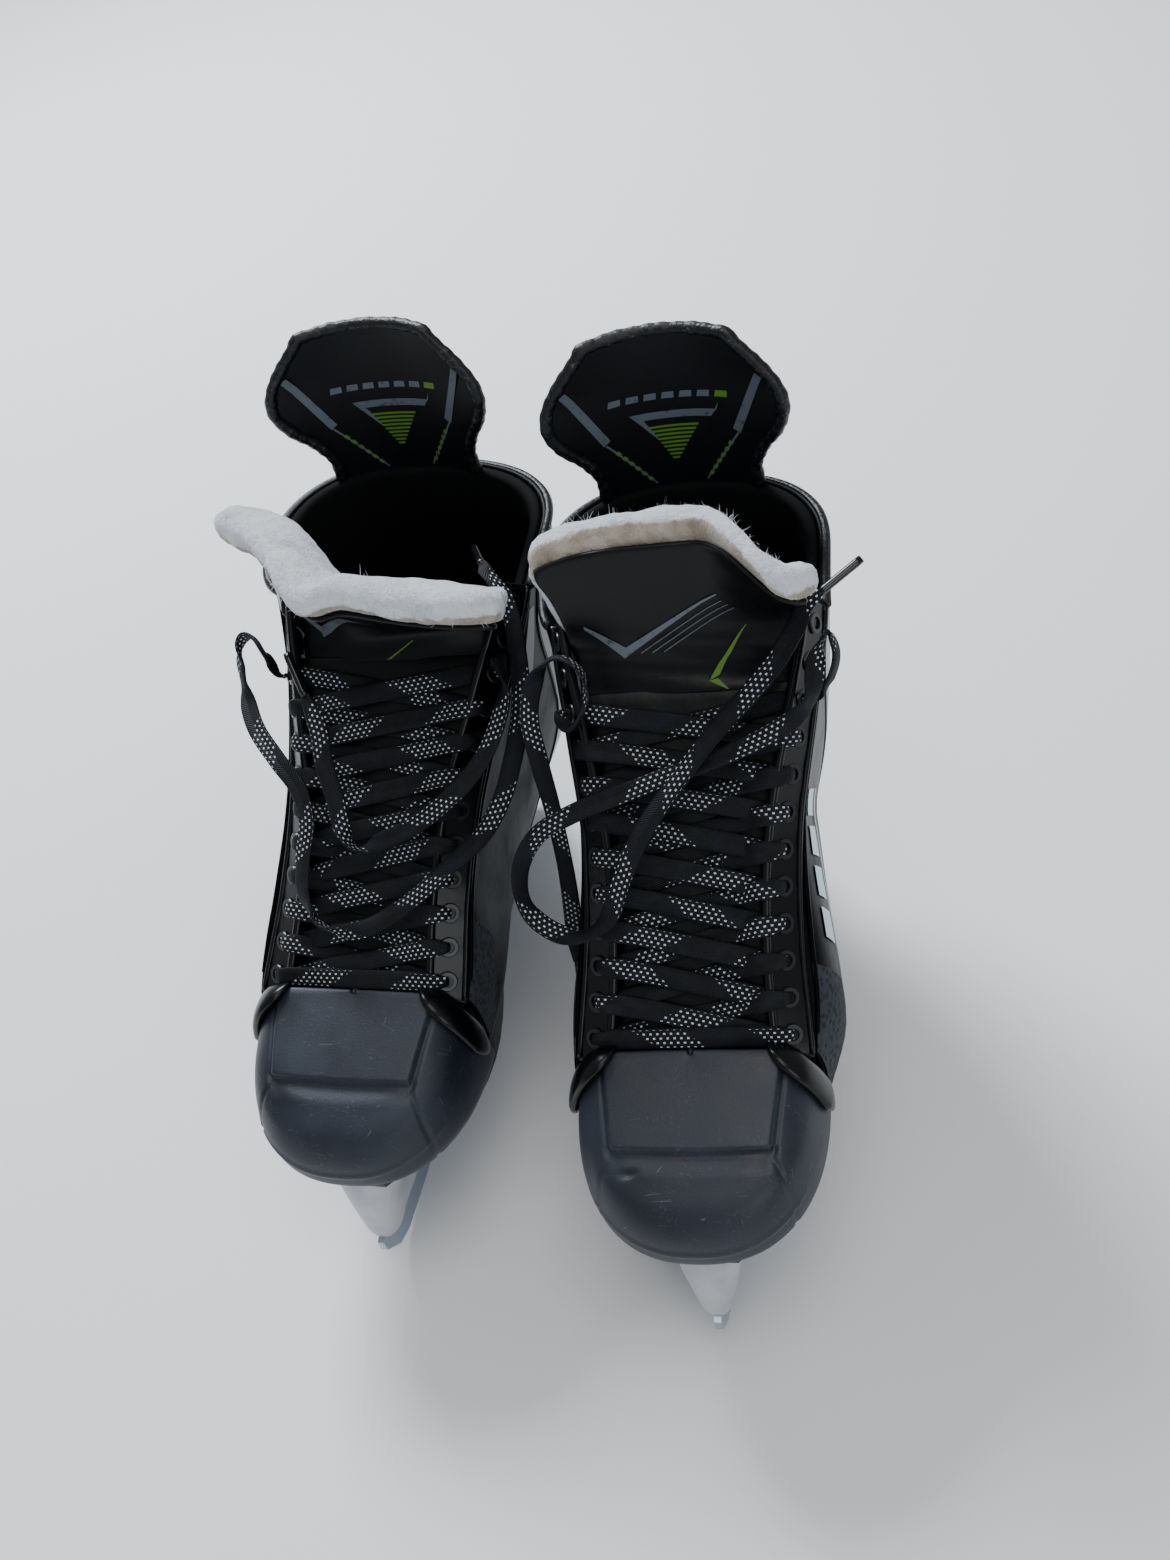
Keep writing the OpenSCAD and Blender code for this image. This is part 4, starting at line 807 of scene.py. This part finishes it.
for (side, which), (hand, marks) in ENDS.items():
    top = eyelet_share(LACED - 1)
    route = [stay_point(side, hand, top, EYELET_IN, h) for h in (2.4, 5.4)]
    route += [throat_point(side, x, b / THROAT_LENGTH, h, False) for x, b, h in marks]
    count = 3 * (len(route) - 1)
    path = smooth_path(curve_at(np.array(route), np.linspace(0, 1, 4 * count + 1)), 1.5)
    tangent = unit(np.gradient(path, axis=0))
    # a flat lace lies flat on a straight run and stands on edge where it turns
    bend = np.linalg.norm(np.gradient(tangent, axis=0), axis=1) / 1.5
    bend = np.convolve(np.pad(bend, 4, mode="edge"), np.ones(9) / 9, mode="valid")
    run = np.linspace(0, length_of(path), len(path))
    turn = math.pi / 2 * ease((bend - 0.025) / 0.05) + 0.3 * np.sin(run / 23 + len(marks))
    flat = np.cross(tangent, NORMAL3)
    clear = np.linalg.norm(flat, axis=1) > 0.35
    first = int(np.argmax(clear))
    ways = unit(flat) * np.cos(turn)[:, None] + NORMAL3 * np.sin(turn)[:, None]
    ways[:first] = ways[first]
    for i in range(1, len(ways)):
        if not clear[i] and i > first:
            ways[i] = ways[i - 1]
        ways[i] *= 1 if np.dot(ways[i], ways[i - 1]) >= 0 else -1
    soft = lambda row: np.convolve(np.pad(row, 3, mode="edge"), np.ones(7) / 7, mode="valid")
    ways = np.stack([soft(ways[:, k]) for k in range(3)], 1)
    width = 3.4 + 4.4 * np.clip(run / 12, 0, 1) * np.clip((run[-1] - run) / 14 + 0.15, 0, 1)
    piece = Piece(side, f"{side}_free_lace_{which}")
    piece.sweep(path, ways, width, 1.9, lace_mat, 12, 2.5, 13.0)
    lace = piece.done([f"lace_end_{which}"])
    tip_way = unit(path[-1] - path[-2])
    tip = path[-1] + np.outer(np.linspace(-0.5, 20, 9), tip_way)
    piece = Piece(side, f"{side}_tip_{which}")
    piece.sweep(tip, tube_ways(tip), np.array([3.2, 3.6, 3.5, 3.5, 3.5, 3.5, 3.5, 3.6, 3.3]),
                np.array([3, 3.4, 3.3, 3.3, 3.3, 3.3, 3.3, 3.4, 3.1]), aglet_mat, 12)
    end = piece.done([f"aglet_{which}"])
    print(side, which, "free lace", round(length_of(path)), "mm")

# %% [markdown]
# Tongue: thick felt with a coated face. The laced part lies under the lace. The top bends over at
# the last row: it stands nearly upright on one skate and flops far forward on the other, where its
# outer corner curls over and shows the felt's inner side.

# %% Tongue shapes
GAP, TOP_HEIGHT = -4.8, 58.0
TOP_HALF = {"left": 52.0, "right": 62.0}
OUTLINE = [0.84, 0.85, 0.88, 0.93, 1, 0.99]
BEND_FROM, BEND_TO = -12.0, 12.0
SPINE_Y, SPINE_Q = np.arange(-20, 80, 0.5), np.linspace(-1.2, 1.2, 49)


def spine_table(side):
    """Angle of the tongue's top, and how far it has come along and out, for every y and q."""
    q, y = np.meshgrid(SPINE_Q, SPINE_Y, indexing="ij")
    fold = ease((y - BEND_FROM) / (BEND_TO - BEND_FROM))
    if side == "left":
        angle = fold * (39 + 3 * q * q) + ease((q - 0.2) / 0.8) * ease((y - 4) / 34) * 66
    else:
        # the inner half flops right over; the outer half stands, then curls over at its top
        angle = fold * (88 - 16 * q - 64 * ease((q - 0.1) / 0.7)) + ease((q + 0.1) / 0.9) * ease((y - 20) / 30) * 112
    angle = np.radians(angle)
    b, n = np.cumsum(np.cos(angle), 1) * 0.5, np.cumsum(np.sin(angle), 1) * 0.5
    zero = np.searchsorted(SPINE_Y, BEND_FROM)
    return angle, b - b[:, zero:zero + 1] + BEND_FROM, n - n[:, zero:zero + 1]


SPINES = {side: spine_table(side) for side in SIDES}


def tongue_top(side, q, y, z):
    """Point of the tongue's top: q from -1 to 1 across, y mm up, z mm out of its face."""
    q, y, z = np.broadcast_arrays(np.asarray(q, float), np.asarray(y, float), np.asarray(z, float))
    t = np.clip(y / TOP_HEIGHT, 0, 1)
    w = TOP_HALF[side] * curve_at(OUTLINE, t)
    w = np.minimum(w, throat_half(PIVOT) - 3 + 1.2 * np.maximum(y, 0))
    yy = np.where(y > 0, y * (1 - (0.2 if side == "left" else 0.13) * t * np.abs(q) ** 3), y)
    i = np.clip((q + 1.2) / 0.05, 0, len(SPINE_Q) - 1.001)
    j = np.clip((yy + 20) / 0.5, 0, len(SPINE_Y) - 1.001)
    i0, j0 = i.astype(int), j.astype(int)
    fi, fj = i - i0, j - j0

    def between(v):
        low = v[i0, j0] * (1 - fi) + v[i0 + 1, j0] * fi
        high = v[i0, j0 + 1] * (1 - fi) + v[i0 + 1, j0 + 1] * fi
        return low * (1 - fj) + high * fj

    angle, b, n = (between(v) for v in SPINES[side])
    zz = z - (2 + 4 * t) * q ** 2
    pivot = throat_point(side, 0, PIVOT, GAP)
    sin, cos = np.sin(angle), np.cos(angle)
    across = np.stack([q * w, 0 * w, 0 * w], -1)
    return pivot + across + np.multiply.outer(b - sin * zz, ALONG3) + np.multiply.outer(n + cos * zz, NORMAL3)


def tongue_low(side, q, s, z):
    w = throat_half(s) - 1
    return throat_point(side, q * w, s, GAP + z - 0.8 * np.asarray(q) ** 2)


for side in SIDES:
    low_to = PIVOT - 11 / THROAT_LENGTH
    s, q = np.meshgrid(np.linspace(-0.02, low_to, 30), np.linspace(-1, 1, 17), indexing="ij")
    piece = Piece(side, f"{side}_tongue_cloth")
    crease = 0.5 * np.sin(s * 75 + 2 * q)
    piece.panel(tongue_low(side, q, s, 0.3 * crease), tongue_low(side, q, s, -2), face_mat)
    piece.done(["tongue_face"])
    piece = Piece(side, f"{side}_tongue_pad")
    piece.panel(tongue_low(side, q, s, -2.05), tongue_low(side, q, s, -13), felt_mat)
    piece.done(["tongue_felt"])

# %% [markdown]
# The top's face is a printed cloth sewn on the felt 7 mm short of its edge: a silver V with pin
# lines beside it, and a green tick.

# %% Tongue tops
for side in SIDES:
    low, high = (world(side, tongue_top(side, 0, y, 0)) for y in (BEND_FROM, BEND_TO))
    bend = (f"{side}_skate", f"{side}_tongue", low, high)
    y, q = np.meshgrid(np.linspace(-12, TOP_HEIGHT - 6, 34), np.linspace(-0.985, 0.985, 33), indexing="ij")
    on = lambda a, b, lift, sd=side: tongue_top(sd, np.asarray(a) / 58 * (1 if sd == "left" else -1), b, 0.3 + lift)
    piece = Piece(side, f"{side}_tongue_top_cloth")
    crease = 0.5 * np.sin(y * 0.5 + 4 * q) * np.clip(1 - y / 20, 0, 1)
    piece.panel(tongue_top(side, q, y, 0.3 + crease), tongue_top(side, q, y, -2), face_mat)
    if side == "left":
        marks = [([(-47, 19), (-47.5, 17.5), (-30, 3), (-28.5, 7.8)], silver_mat),
                 ([(-28.5, 7.8), (-30, 3), (21, 30), (20.5, 30.5)], silver_mat),
                 ([(13, -8.4), (19, -6.3), (34.5, 15), (34, 15)], green_mat),
                 ([(13, -8.4), (18, -7.6), (23.5, -12), (22.5, -12)], green_mat)]
        marks += [([(-21 + 6 * k, 5.1), (-21 + 6 * k, 4.6), (23 + 3 * k, 27 - 1.6 * k),
                    (23 + 3 * k, 27.4 - 1.6 * k)], silver_mat) for k in range(3)]
    else:
        marks = [([(-52, 16), (-51.5, 14), (-44, -2), (-42, 2.6)], silver_mat),
                 ([(-42, 2.6), (-44, -2), (-3, 13), (-3.2, 13.6)], silver_mat),
                 ([(-4, -12), (-1, -11.6), (13.4, -3.6), (13, -3.4)], green_mat)]
    for quad, mat in marks:
        decal(piece, on, quad, mat, 0.5, 8)
    piece.done(["tongue_top_face"], bend=bend)
    print(side, "tongue top", [round(v * 1000) for v in high])


# %% [markdown]
# Tongue tops' felt: the pad is built on the tongue's bent top and inflated as cloth, so that its edge
# swells and creases by itself. Loose fibres stand off its worn edge.

# %% Felt pads by cloth simulation
SWELL_FRAMES, SWELL_CAP, FIBRES = 14, 0.004, 1100


def inflate(obj, frames, cap, sewn):
    """Swells a closed pad by cloth pressure, no point further than cap from where it was. Points
    near the sewn ones stay where they are."""
    bpy.context.view_layer.objects.active = obj
    for o in bpy.context.selected_objects:
        o.select_set(False)
    obj.select_set(True)
    obj.data.remesh_voxel_size = 0.0028
    bpy.ops.object.voxel_remesh()
    before = np.array([v.co for v in obj.data.vertices])
    held = np.array([np.min(np.linalg.norm(sewn - p, axis=1)) < 0.0035 for p in before])
    group = obj.vertex_groups.new(name="sewn")
    group.add(np.flatnonzero(held).tolist(), 1.0, "REPLACE")
    cloth = obj.modifiers.new("cloth", "CLOTH")
    cloth.settings.quality = 4
    cloth.settings.mass = 0.3
    cloth.settings.tension_stiffness = cloth.settings.compression_stiffness = 25
    cloth.settings.bending_stiffness = 4
    cloth.settings.vertex_group_mass = "sewn"
    cloth.settings.use_pressure = True
    cloth.settings.uniform_pressure_force = 5
    cloth.settings.effector_weights.gravity = 0
    cloth.collision_settings.use_collision = False
    for f in range(1, frames + 1):
        bpy.context.scene.frame_set(f)
    dg = bpy.context.evaluated_depsgraph_get()
    shape = obj.evaluated_get(dg).to_mesh()
    after = np.array([v.co for v in shape.vertices])
    obj.evaluated_get(dg).to_mesh_clear()
    obj.modifiers.clear()
    obj.vertex_groups.clear()
    move = after - before
    far = np.linalg.norm(move, axis=1, keepdims=True)
    before = before + move * np.minimum(1, cap / np.maximum(far, 1e-9)) * ~held[:, None]
    bpy.context.scene.frame_set(1)
    print(obj.name, "swelled", round(float(np.median(far)) * 1000, 2), "mm")
    obj.data.vertices.foreach_set("co", before.astype(np.float32).ravel())
    obj.data.update()


def lumps(p, size):
    """Soft random height at points in mm, from a few sine waves."""
    x, y, z = p.T / size
    slow = np.sin(x + 1.3) * np.sin(y * 1.2 + 0.4) + np.sin(z * 1.4 + x * 0.6)
    return slow + 0.5 * np.sin(x * 2.3 + z * 1.9)


for side in SIDES:
    y, q = np.meshgrid(np.linspace(-12, TOP_HEIGHT, 40), np.linspace(-1, 1, 41), indexing="ij")
    t = np.clip(y / TOP_HEIGHT, 0, 1)
    piece = Piece(side, f"{side}_tongue_top_pad")
    piece.panel(tongue_top(side, q, y, -2.3), tongue_top(side, q, y, -12.4 - 2.2 * t), felt_mat)
    pad = piece.done(["tongue_top_felt"], body=f"{side}_tongue")
    pad.parent = None
    pad.matrix_world = Matrix.Identity(4)
    y, q = np.meshgrid(np.linspace(-12, TOP_HEIGHT - 8, 50), np.linspace(-0.95, 0.95, 61), indexing="ij")
    sewn = world(side, tongue_top(side, q, y, -2.3)).reshape(-1, 3)
    inflate(pad, SWELL_FRAMES, SWELL_CAP, sewn)
    co = np.array([v.co for v in pad.data.vertices])
    nor = np.array([v.normal for v in pad.data.vertices])
    free = np.clip((np.array([np.min(np.linalg.norm(sewn - p, axis=1)) for p in co]) - 0.0035) / 0.003, 0, 1)
    co = co + nor * ((0.0005 * lumps(co * 1000, 7) + 0.0003 * lumps(co * 1000 + 40, 2.6)) * free)[:, None]
    pad.data.vertices.foreach_set("co", co.astype(np.float32).ravel())
    pad.data.materials.clear()
    pad.data.materials.append(felt_mat)
    edge_line = world(side, tongue_top(side, np.linspace(-1, 1, 160), np.full(160, TOP_HEIGHT - 3.0), -3.0))
    near = np.array([np.min(np.linalg.norm(edge_line - p, axis=1)) for p in co])
    worn = pad.data.attributes.new("torn", "FLOAT", "POINT")
    worn.data.foreach_set("value", np.clip((0.0085 - near) / 0.006, 0, 1).astype(np.float32))
    pad.data.polygons.foreach_set("use_smooth", [True] * len(pad.data.polygons))
    pad.update_tag()
    low, high = (world(side, tongue_top(side, 0, yy, 0)) for yy in (BEND_FROM, BEND_TO))
    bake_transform(pad)

    # fibres: short bent strands that stand off the top edge
    rng = np.random.default_rng(11 if side == "left" else 12)
    piece = Piece(side, f"{side}_felt_fibres")
    verts, faces = [], []
    for k in range(FIBRES):
        qq, depth = rng.uniform(-0.97, 0.97), rng.uniform(-15.5, -4)
        root = tongue_top(side, qq, TOP_HEIGHT - rng.uniform(0, 2), depth)
        out = unit(tongue_top(side, qq, TOP_HEIGHT + 4, depth) - root)
        way = unit(out + rng.normal(0, 0.75, 3))
        long, bow = rng.uniform(1.2, 4.6), rng.normal(0, 1.2, 3)
        wide = unit(np.cross(way, rng.normal(0, 1, 3))) * 0.09
        spots = [root + way * long * f + bow * f * f for f in (0, 0.35, 0.7, 1)]
        base = len(verts)
        for f, spot in zip((1, 0.9, 0.7, 0.15), spots):
            verts += [spot - wide * f, spot + wide * f]
        faces += [(base + 2 * m, base + 2 * m + 1, base + 2 * m + 3, base + 2 * m + 2) for m in range(3)]
    piece.put(verts, faces, fibre_mat)
    piece.done([], bend=(f"{side}_skate", f"{side}_tongue", low, high))

# %% [markdown]
# Tendon guard: a stiff padded leaf that rises from the collar, waisted and then flared, with a
# rubbed binding round its edge. Its print is silver bars, a green striped wedge and a plain row of
# short dashes.

# %% Tendon guards
GUARD_BASE, GUARD_BACK, GUARD_HIGH = COLLAR + 1.8, 0.956 * LENGTH, 74.0
GUARD_HALF = [33, 33, 37, 43.8, 48, 46, 38, 29]


def guard_point(x, z, deep):
    """x mm across and z mm up the guard's rear face, deep mm in front of it."""
    x, z, deep = np.broadcast_arrays(np.asarray(x, float), np.asarray(z, float), np.asarray(deep, float))
    t = z / GUARD_HIGH
    w = curve_at(GUARD_HALF, np.clip(t, 0, 1))
    q = x / w
    bend = curve_at([9, 9, 11, 15, 17, 15, 12, 9], np.clip(t, 0, 1))
    lean = 6 * t * t - 9 * t
    return np.stack([x, GUARD_BACK + lean - deep - bend * np.abs(q) ** 2.2, GUARD_BASE + z], -1)


for side in SIDES:
    z, q = np.meshgrid(np.linspace(-7, GUARD_HIGH, 44), np.linspace(-1, 1, 29), indexing="ij")
    w = curve_at(GUARD_HALF, np.clip(z / GUARD_HIGH, 0, 1))
    thick = 5.0 - 1.6 * np.abs(q) ** 6
    piece = Piece(side, f"{side}_tendon_leaf")
    piece.panel(guard_point(q * w * 0.97, z, 0.2), guard_point(q * w * 0.97, z, thick), shell_mat, guard_mat)
    t = np.linspace(0, 1, 40)
    half = curve_at(GUARD_HALF, t)
    edge = np.concatenate([guard_point(-half, t * GUARD_HIGH, 2.6),
                           guard_point(np.linspace(-29, 29, 14)[1:-1], GUARD_HIGH, 2.6),
                           guard_point(half[::-1], t[::-1] * GUARD_HIGH, 2.6)])
    edge = smooth_path(edge, 1.8)
    wobble = 1 + 0.07 * np.sin(np.arange(len(edge)) * 1.9) + 0.05 * np.sin(np.arange(len(edge)) * 0.7)
    piece.sweep(edge, tube_ways(edge), 5.4 * wobble, 5.4 * wobble, binding_mat, 10)
    sign = 1 if side == "left" else -1
    on = lambda a, b, lift, k=sign: guard_point(k * np.asarray(a, float), b, 5.05 + lift)
    for h in (-1, 1):
        decal(piece, on, [(h * 41, 57), (h * 38, 58), (h * 25.5, 29), (h * 28.5, 27)], silver_mat, 0.12)
        decal(piece, on, [(h * 28, 27), (h * 27.2, 27.4), (h * 10.4, 1), (h * 11, 0.6)], silver_mat, 0.12)
        for k in range(6):
            x0, z0 = 25 - 2.1 * k, 22 - 3.4 * k
            decal(piece, on, [(h * x0, z0), (h * (x0 - 1.2), z0 - 2), (h * (x0 - 2.8), z0 - 1.3),
                              (h * (x0 - 1.6), z0 + 0.7)], green_mat, 0.12, 3)
    decal(piece, on, [(-16, 38), (20, 38), (17, 34.4), (-11, 34.4)], silver_mat, 0.12)
    decal(piece, on, [(20, 38), (21, 41.5), (17.5, 34.6), (16.6, 34.4)], silver_mat, 0.13, 3)
    decal(piece, on, [(-16.5, 38.2), (-11, 34.4), (-6, 24), (-6.6, 24)], silver_mat, 0.13, 4)
    for k in range(9):
        z0 = 31 - 2.1 * k
        left_x, right_x = -9.5 + 0.9 * k, 11.5 - 1.3 * k
        decal(piece, on, [(left_x, z0), (right_x, z0), (right_x - 0.5, z0 - 1.1), (left_x + 0.4, z0 - 1.1)],
              green_mat, 0.12, 4)
    for k in range(7):
        x0 = -24 + 7.3 * k
        decal(piece, on, [(x0, 44), (x0 + 5.2, 44), (x0 + 5.6, 47), (x0 + 0.8, 47)],
              green_mat if k == 6 else silver_mat, 0.12, 3)
    low, high = (world(side, guard_point(0, zz, 2.5)) for zz in (-6, 14))
    piece.done(["tendon_guard"], bend=(f"{side}_skate", f"{side}_guard", low, high))

# %% [markdown]
# Holder: the CAD's own solid, with a small bevel on its edges as a moulding has. A remesh would
# soften it more, but it would lose the bolt seats. The other hardware is shown as the CAD makes it.

# %% Holder
for side in SIDES:
    source = frame["nodes"][f"{side}_holder"]
    obj = bpy.data.objects.new(f"{side}_blade_holder", source.data.copy())
    bpy.context.scene.collection.objects.link(obj)
    obj.data.materials.clear()
    obj.data.materials.append(holder_mat)
    soften = obj.modifiers.new("bevel", "BEVEL")
    soften.width, soften.segments, soften.limit_method = 0.0012, 3, "ANGLE"
    for face in obj.data.polygons:
        face.use_smooth = False
    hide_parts(f"{side}_holder")
    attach(obj, f"{side}_skate")

# %% [markdown]
# Prow: in front the holder narrows from the width of its foot plate to little more than the steel,
# as one smooth wedge. Each row below is a level: its height, its front, its rear and its width.
# Ovals joined from level to level give the moulding's soft edges without any modifier.

# %% Prow of the holder
PROW = np.array([
    [69.2, 9, 37, 31], [60, 7, 36, 28.5], [48, 5, 35, 24], [38, 3.6, 33, 19.5],
    [30, 3.2, 31, 15.5], [24.5, 5, 28, 12], [20, 9, 23, 8.5], [18, 12, 19, 4.5]])
for side in SIDES:
    height, front, rear, wide = curve_at(PROW, np.linspace(0, 1, 40)).T
    path = np.stack([0 * height, (front + rear) / 2, height], 1)
    piece = Piece(side, f"{side}_holder_prow")
    piece.sweep(path, np.tile([1.0, 0, 0], (40, 1)), wide, rear - front, holder_mat, 28, 2.5)
    piece.done([])
    print(side, "prow, mm wide at the top and the foot:", round(wide[0], 1), round(wide[-1], 1))

# %% CAD pieces that stay as they are
KEPT = {"eyelets": enamel_mat, "insole_board": board_mat, "footbed": footbed_mat, "outsole": sole_mat,
        "runner": steel_mat, "blade_bolts": bolt_mat, "blade_nuts": bolt_mat, "holder_rivets": rivet_mat}
for side in SIDES:
    for name, mat in KEPT.items():
        node = frame["nodes"][f"{side}_{name}"]
        node.data.materials.clear()
        node.data.materials.append(mat)
print("kept", len(KEPT) * 2)

# %% [markdown]
# Room: a plain white floor, a large soft window light from behind on the left, and weak fills.
# Area lights give the soft edges of daylight, and a pale world fills the shadows.

# %% Floor and lights
floor_mat, s = surface("white_floor", "#f4f5f6", 0.9)
floor = bpy.data.objects.new("floor", bpy.data.meshes.new("floor"))
floor.data.from_pydata([(-6, -6, -0.0003), (6, -6, -0.0003), (6, 6, -0.0003), (-6, 6, -0.0003)], [], [(0, 1, 2, 3)])
floor.data.materials.append(floor_mat)
bpy.context.scene.collection.objects.link(floor)


def soft_light(name, place, aim, size, power, colour):
    data = bpy.data.lights.new(name, "AREA")
    data.size, data.energy, data.color = size, power, colour
    light = bpy.data.objects.new(name, data)
    bpy.context.scene.collection.objects.link(light)
    light.location = place
    light.rotation_mode = "QUATERNION"
    light.rotation_quaternion = (Vector(aim) - Vector(place)).to_track_quat("-Z", "Y")


soft_light("window", (-0.9, 1.3, 1.6), (0, 0, 0.1), 0.8, 62, (0.88, 0.94, 1.0))
soft_light("ceiling", (0.3, -0.4, 2.0), (0, 0, 0.1), 1.2, 14, (1.0, 0.98, 0.95))
soft_light("front_fill", (1.0, -1.4, 0.9), (0, 0, 0.12), 0.8, 6, (0.9, 0.95, 1.0))
sky = bpy.data.worlds.new("room")
sky.use_nodes = True
sky.node_tree.nodes["Background"].inputs["Color"].default_value = (0.93, 0.96, 1.0, 1)
sky.node_tree.nodes["Background"].inputs["Strength"].default_value = 0.36
bpy.context.scene.world = sky
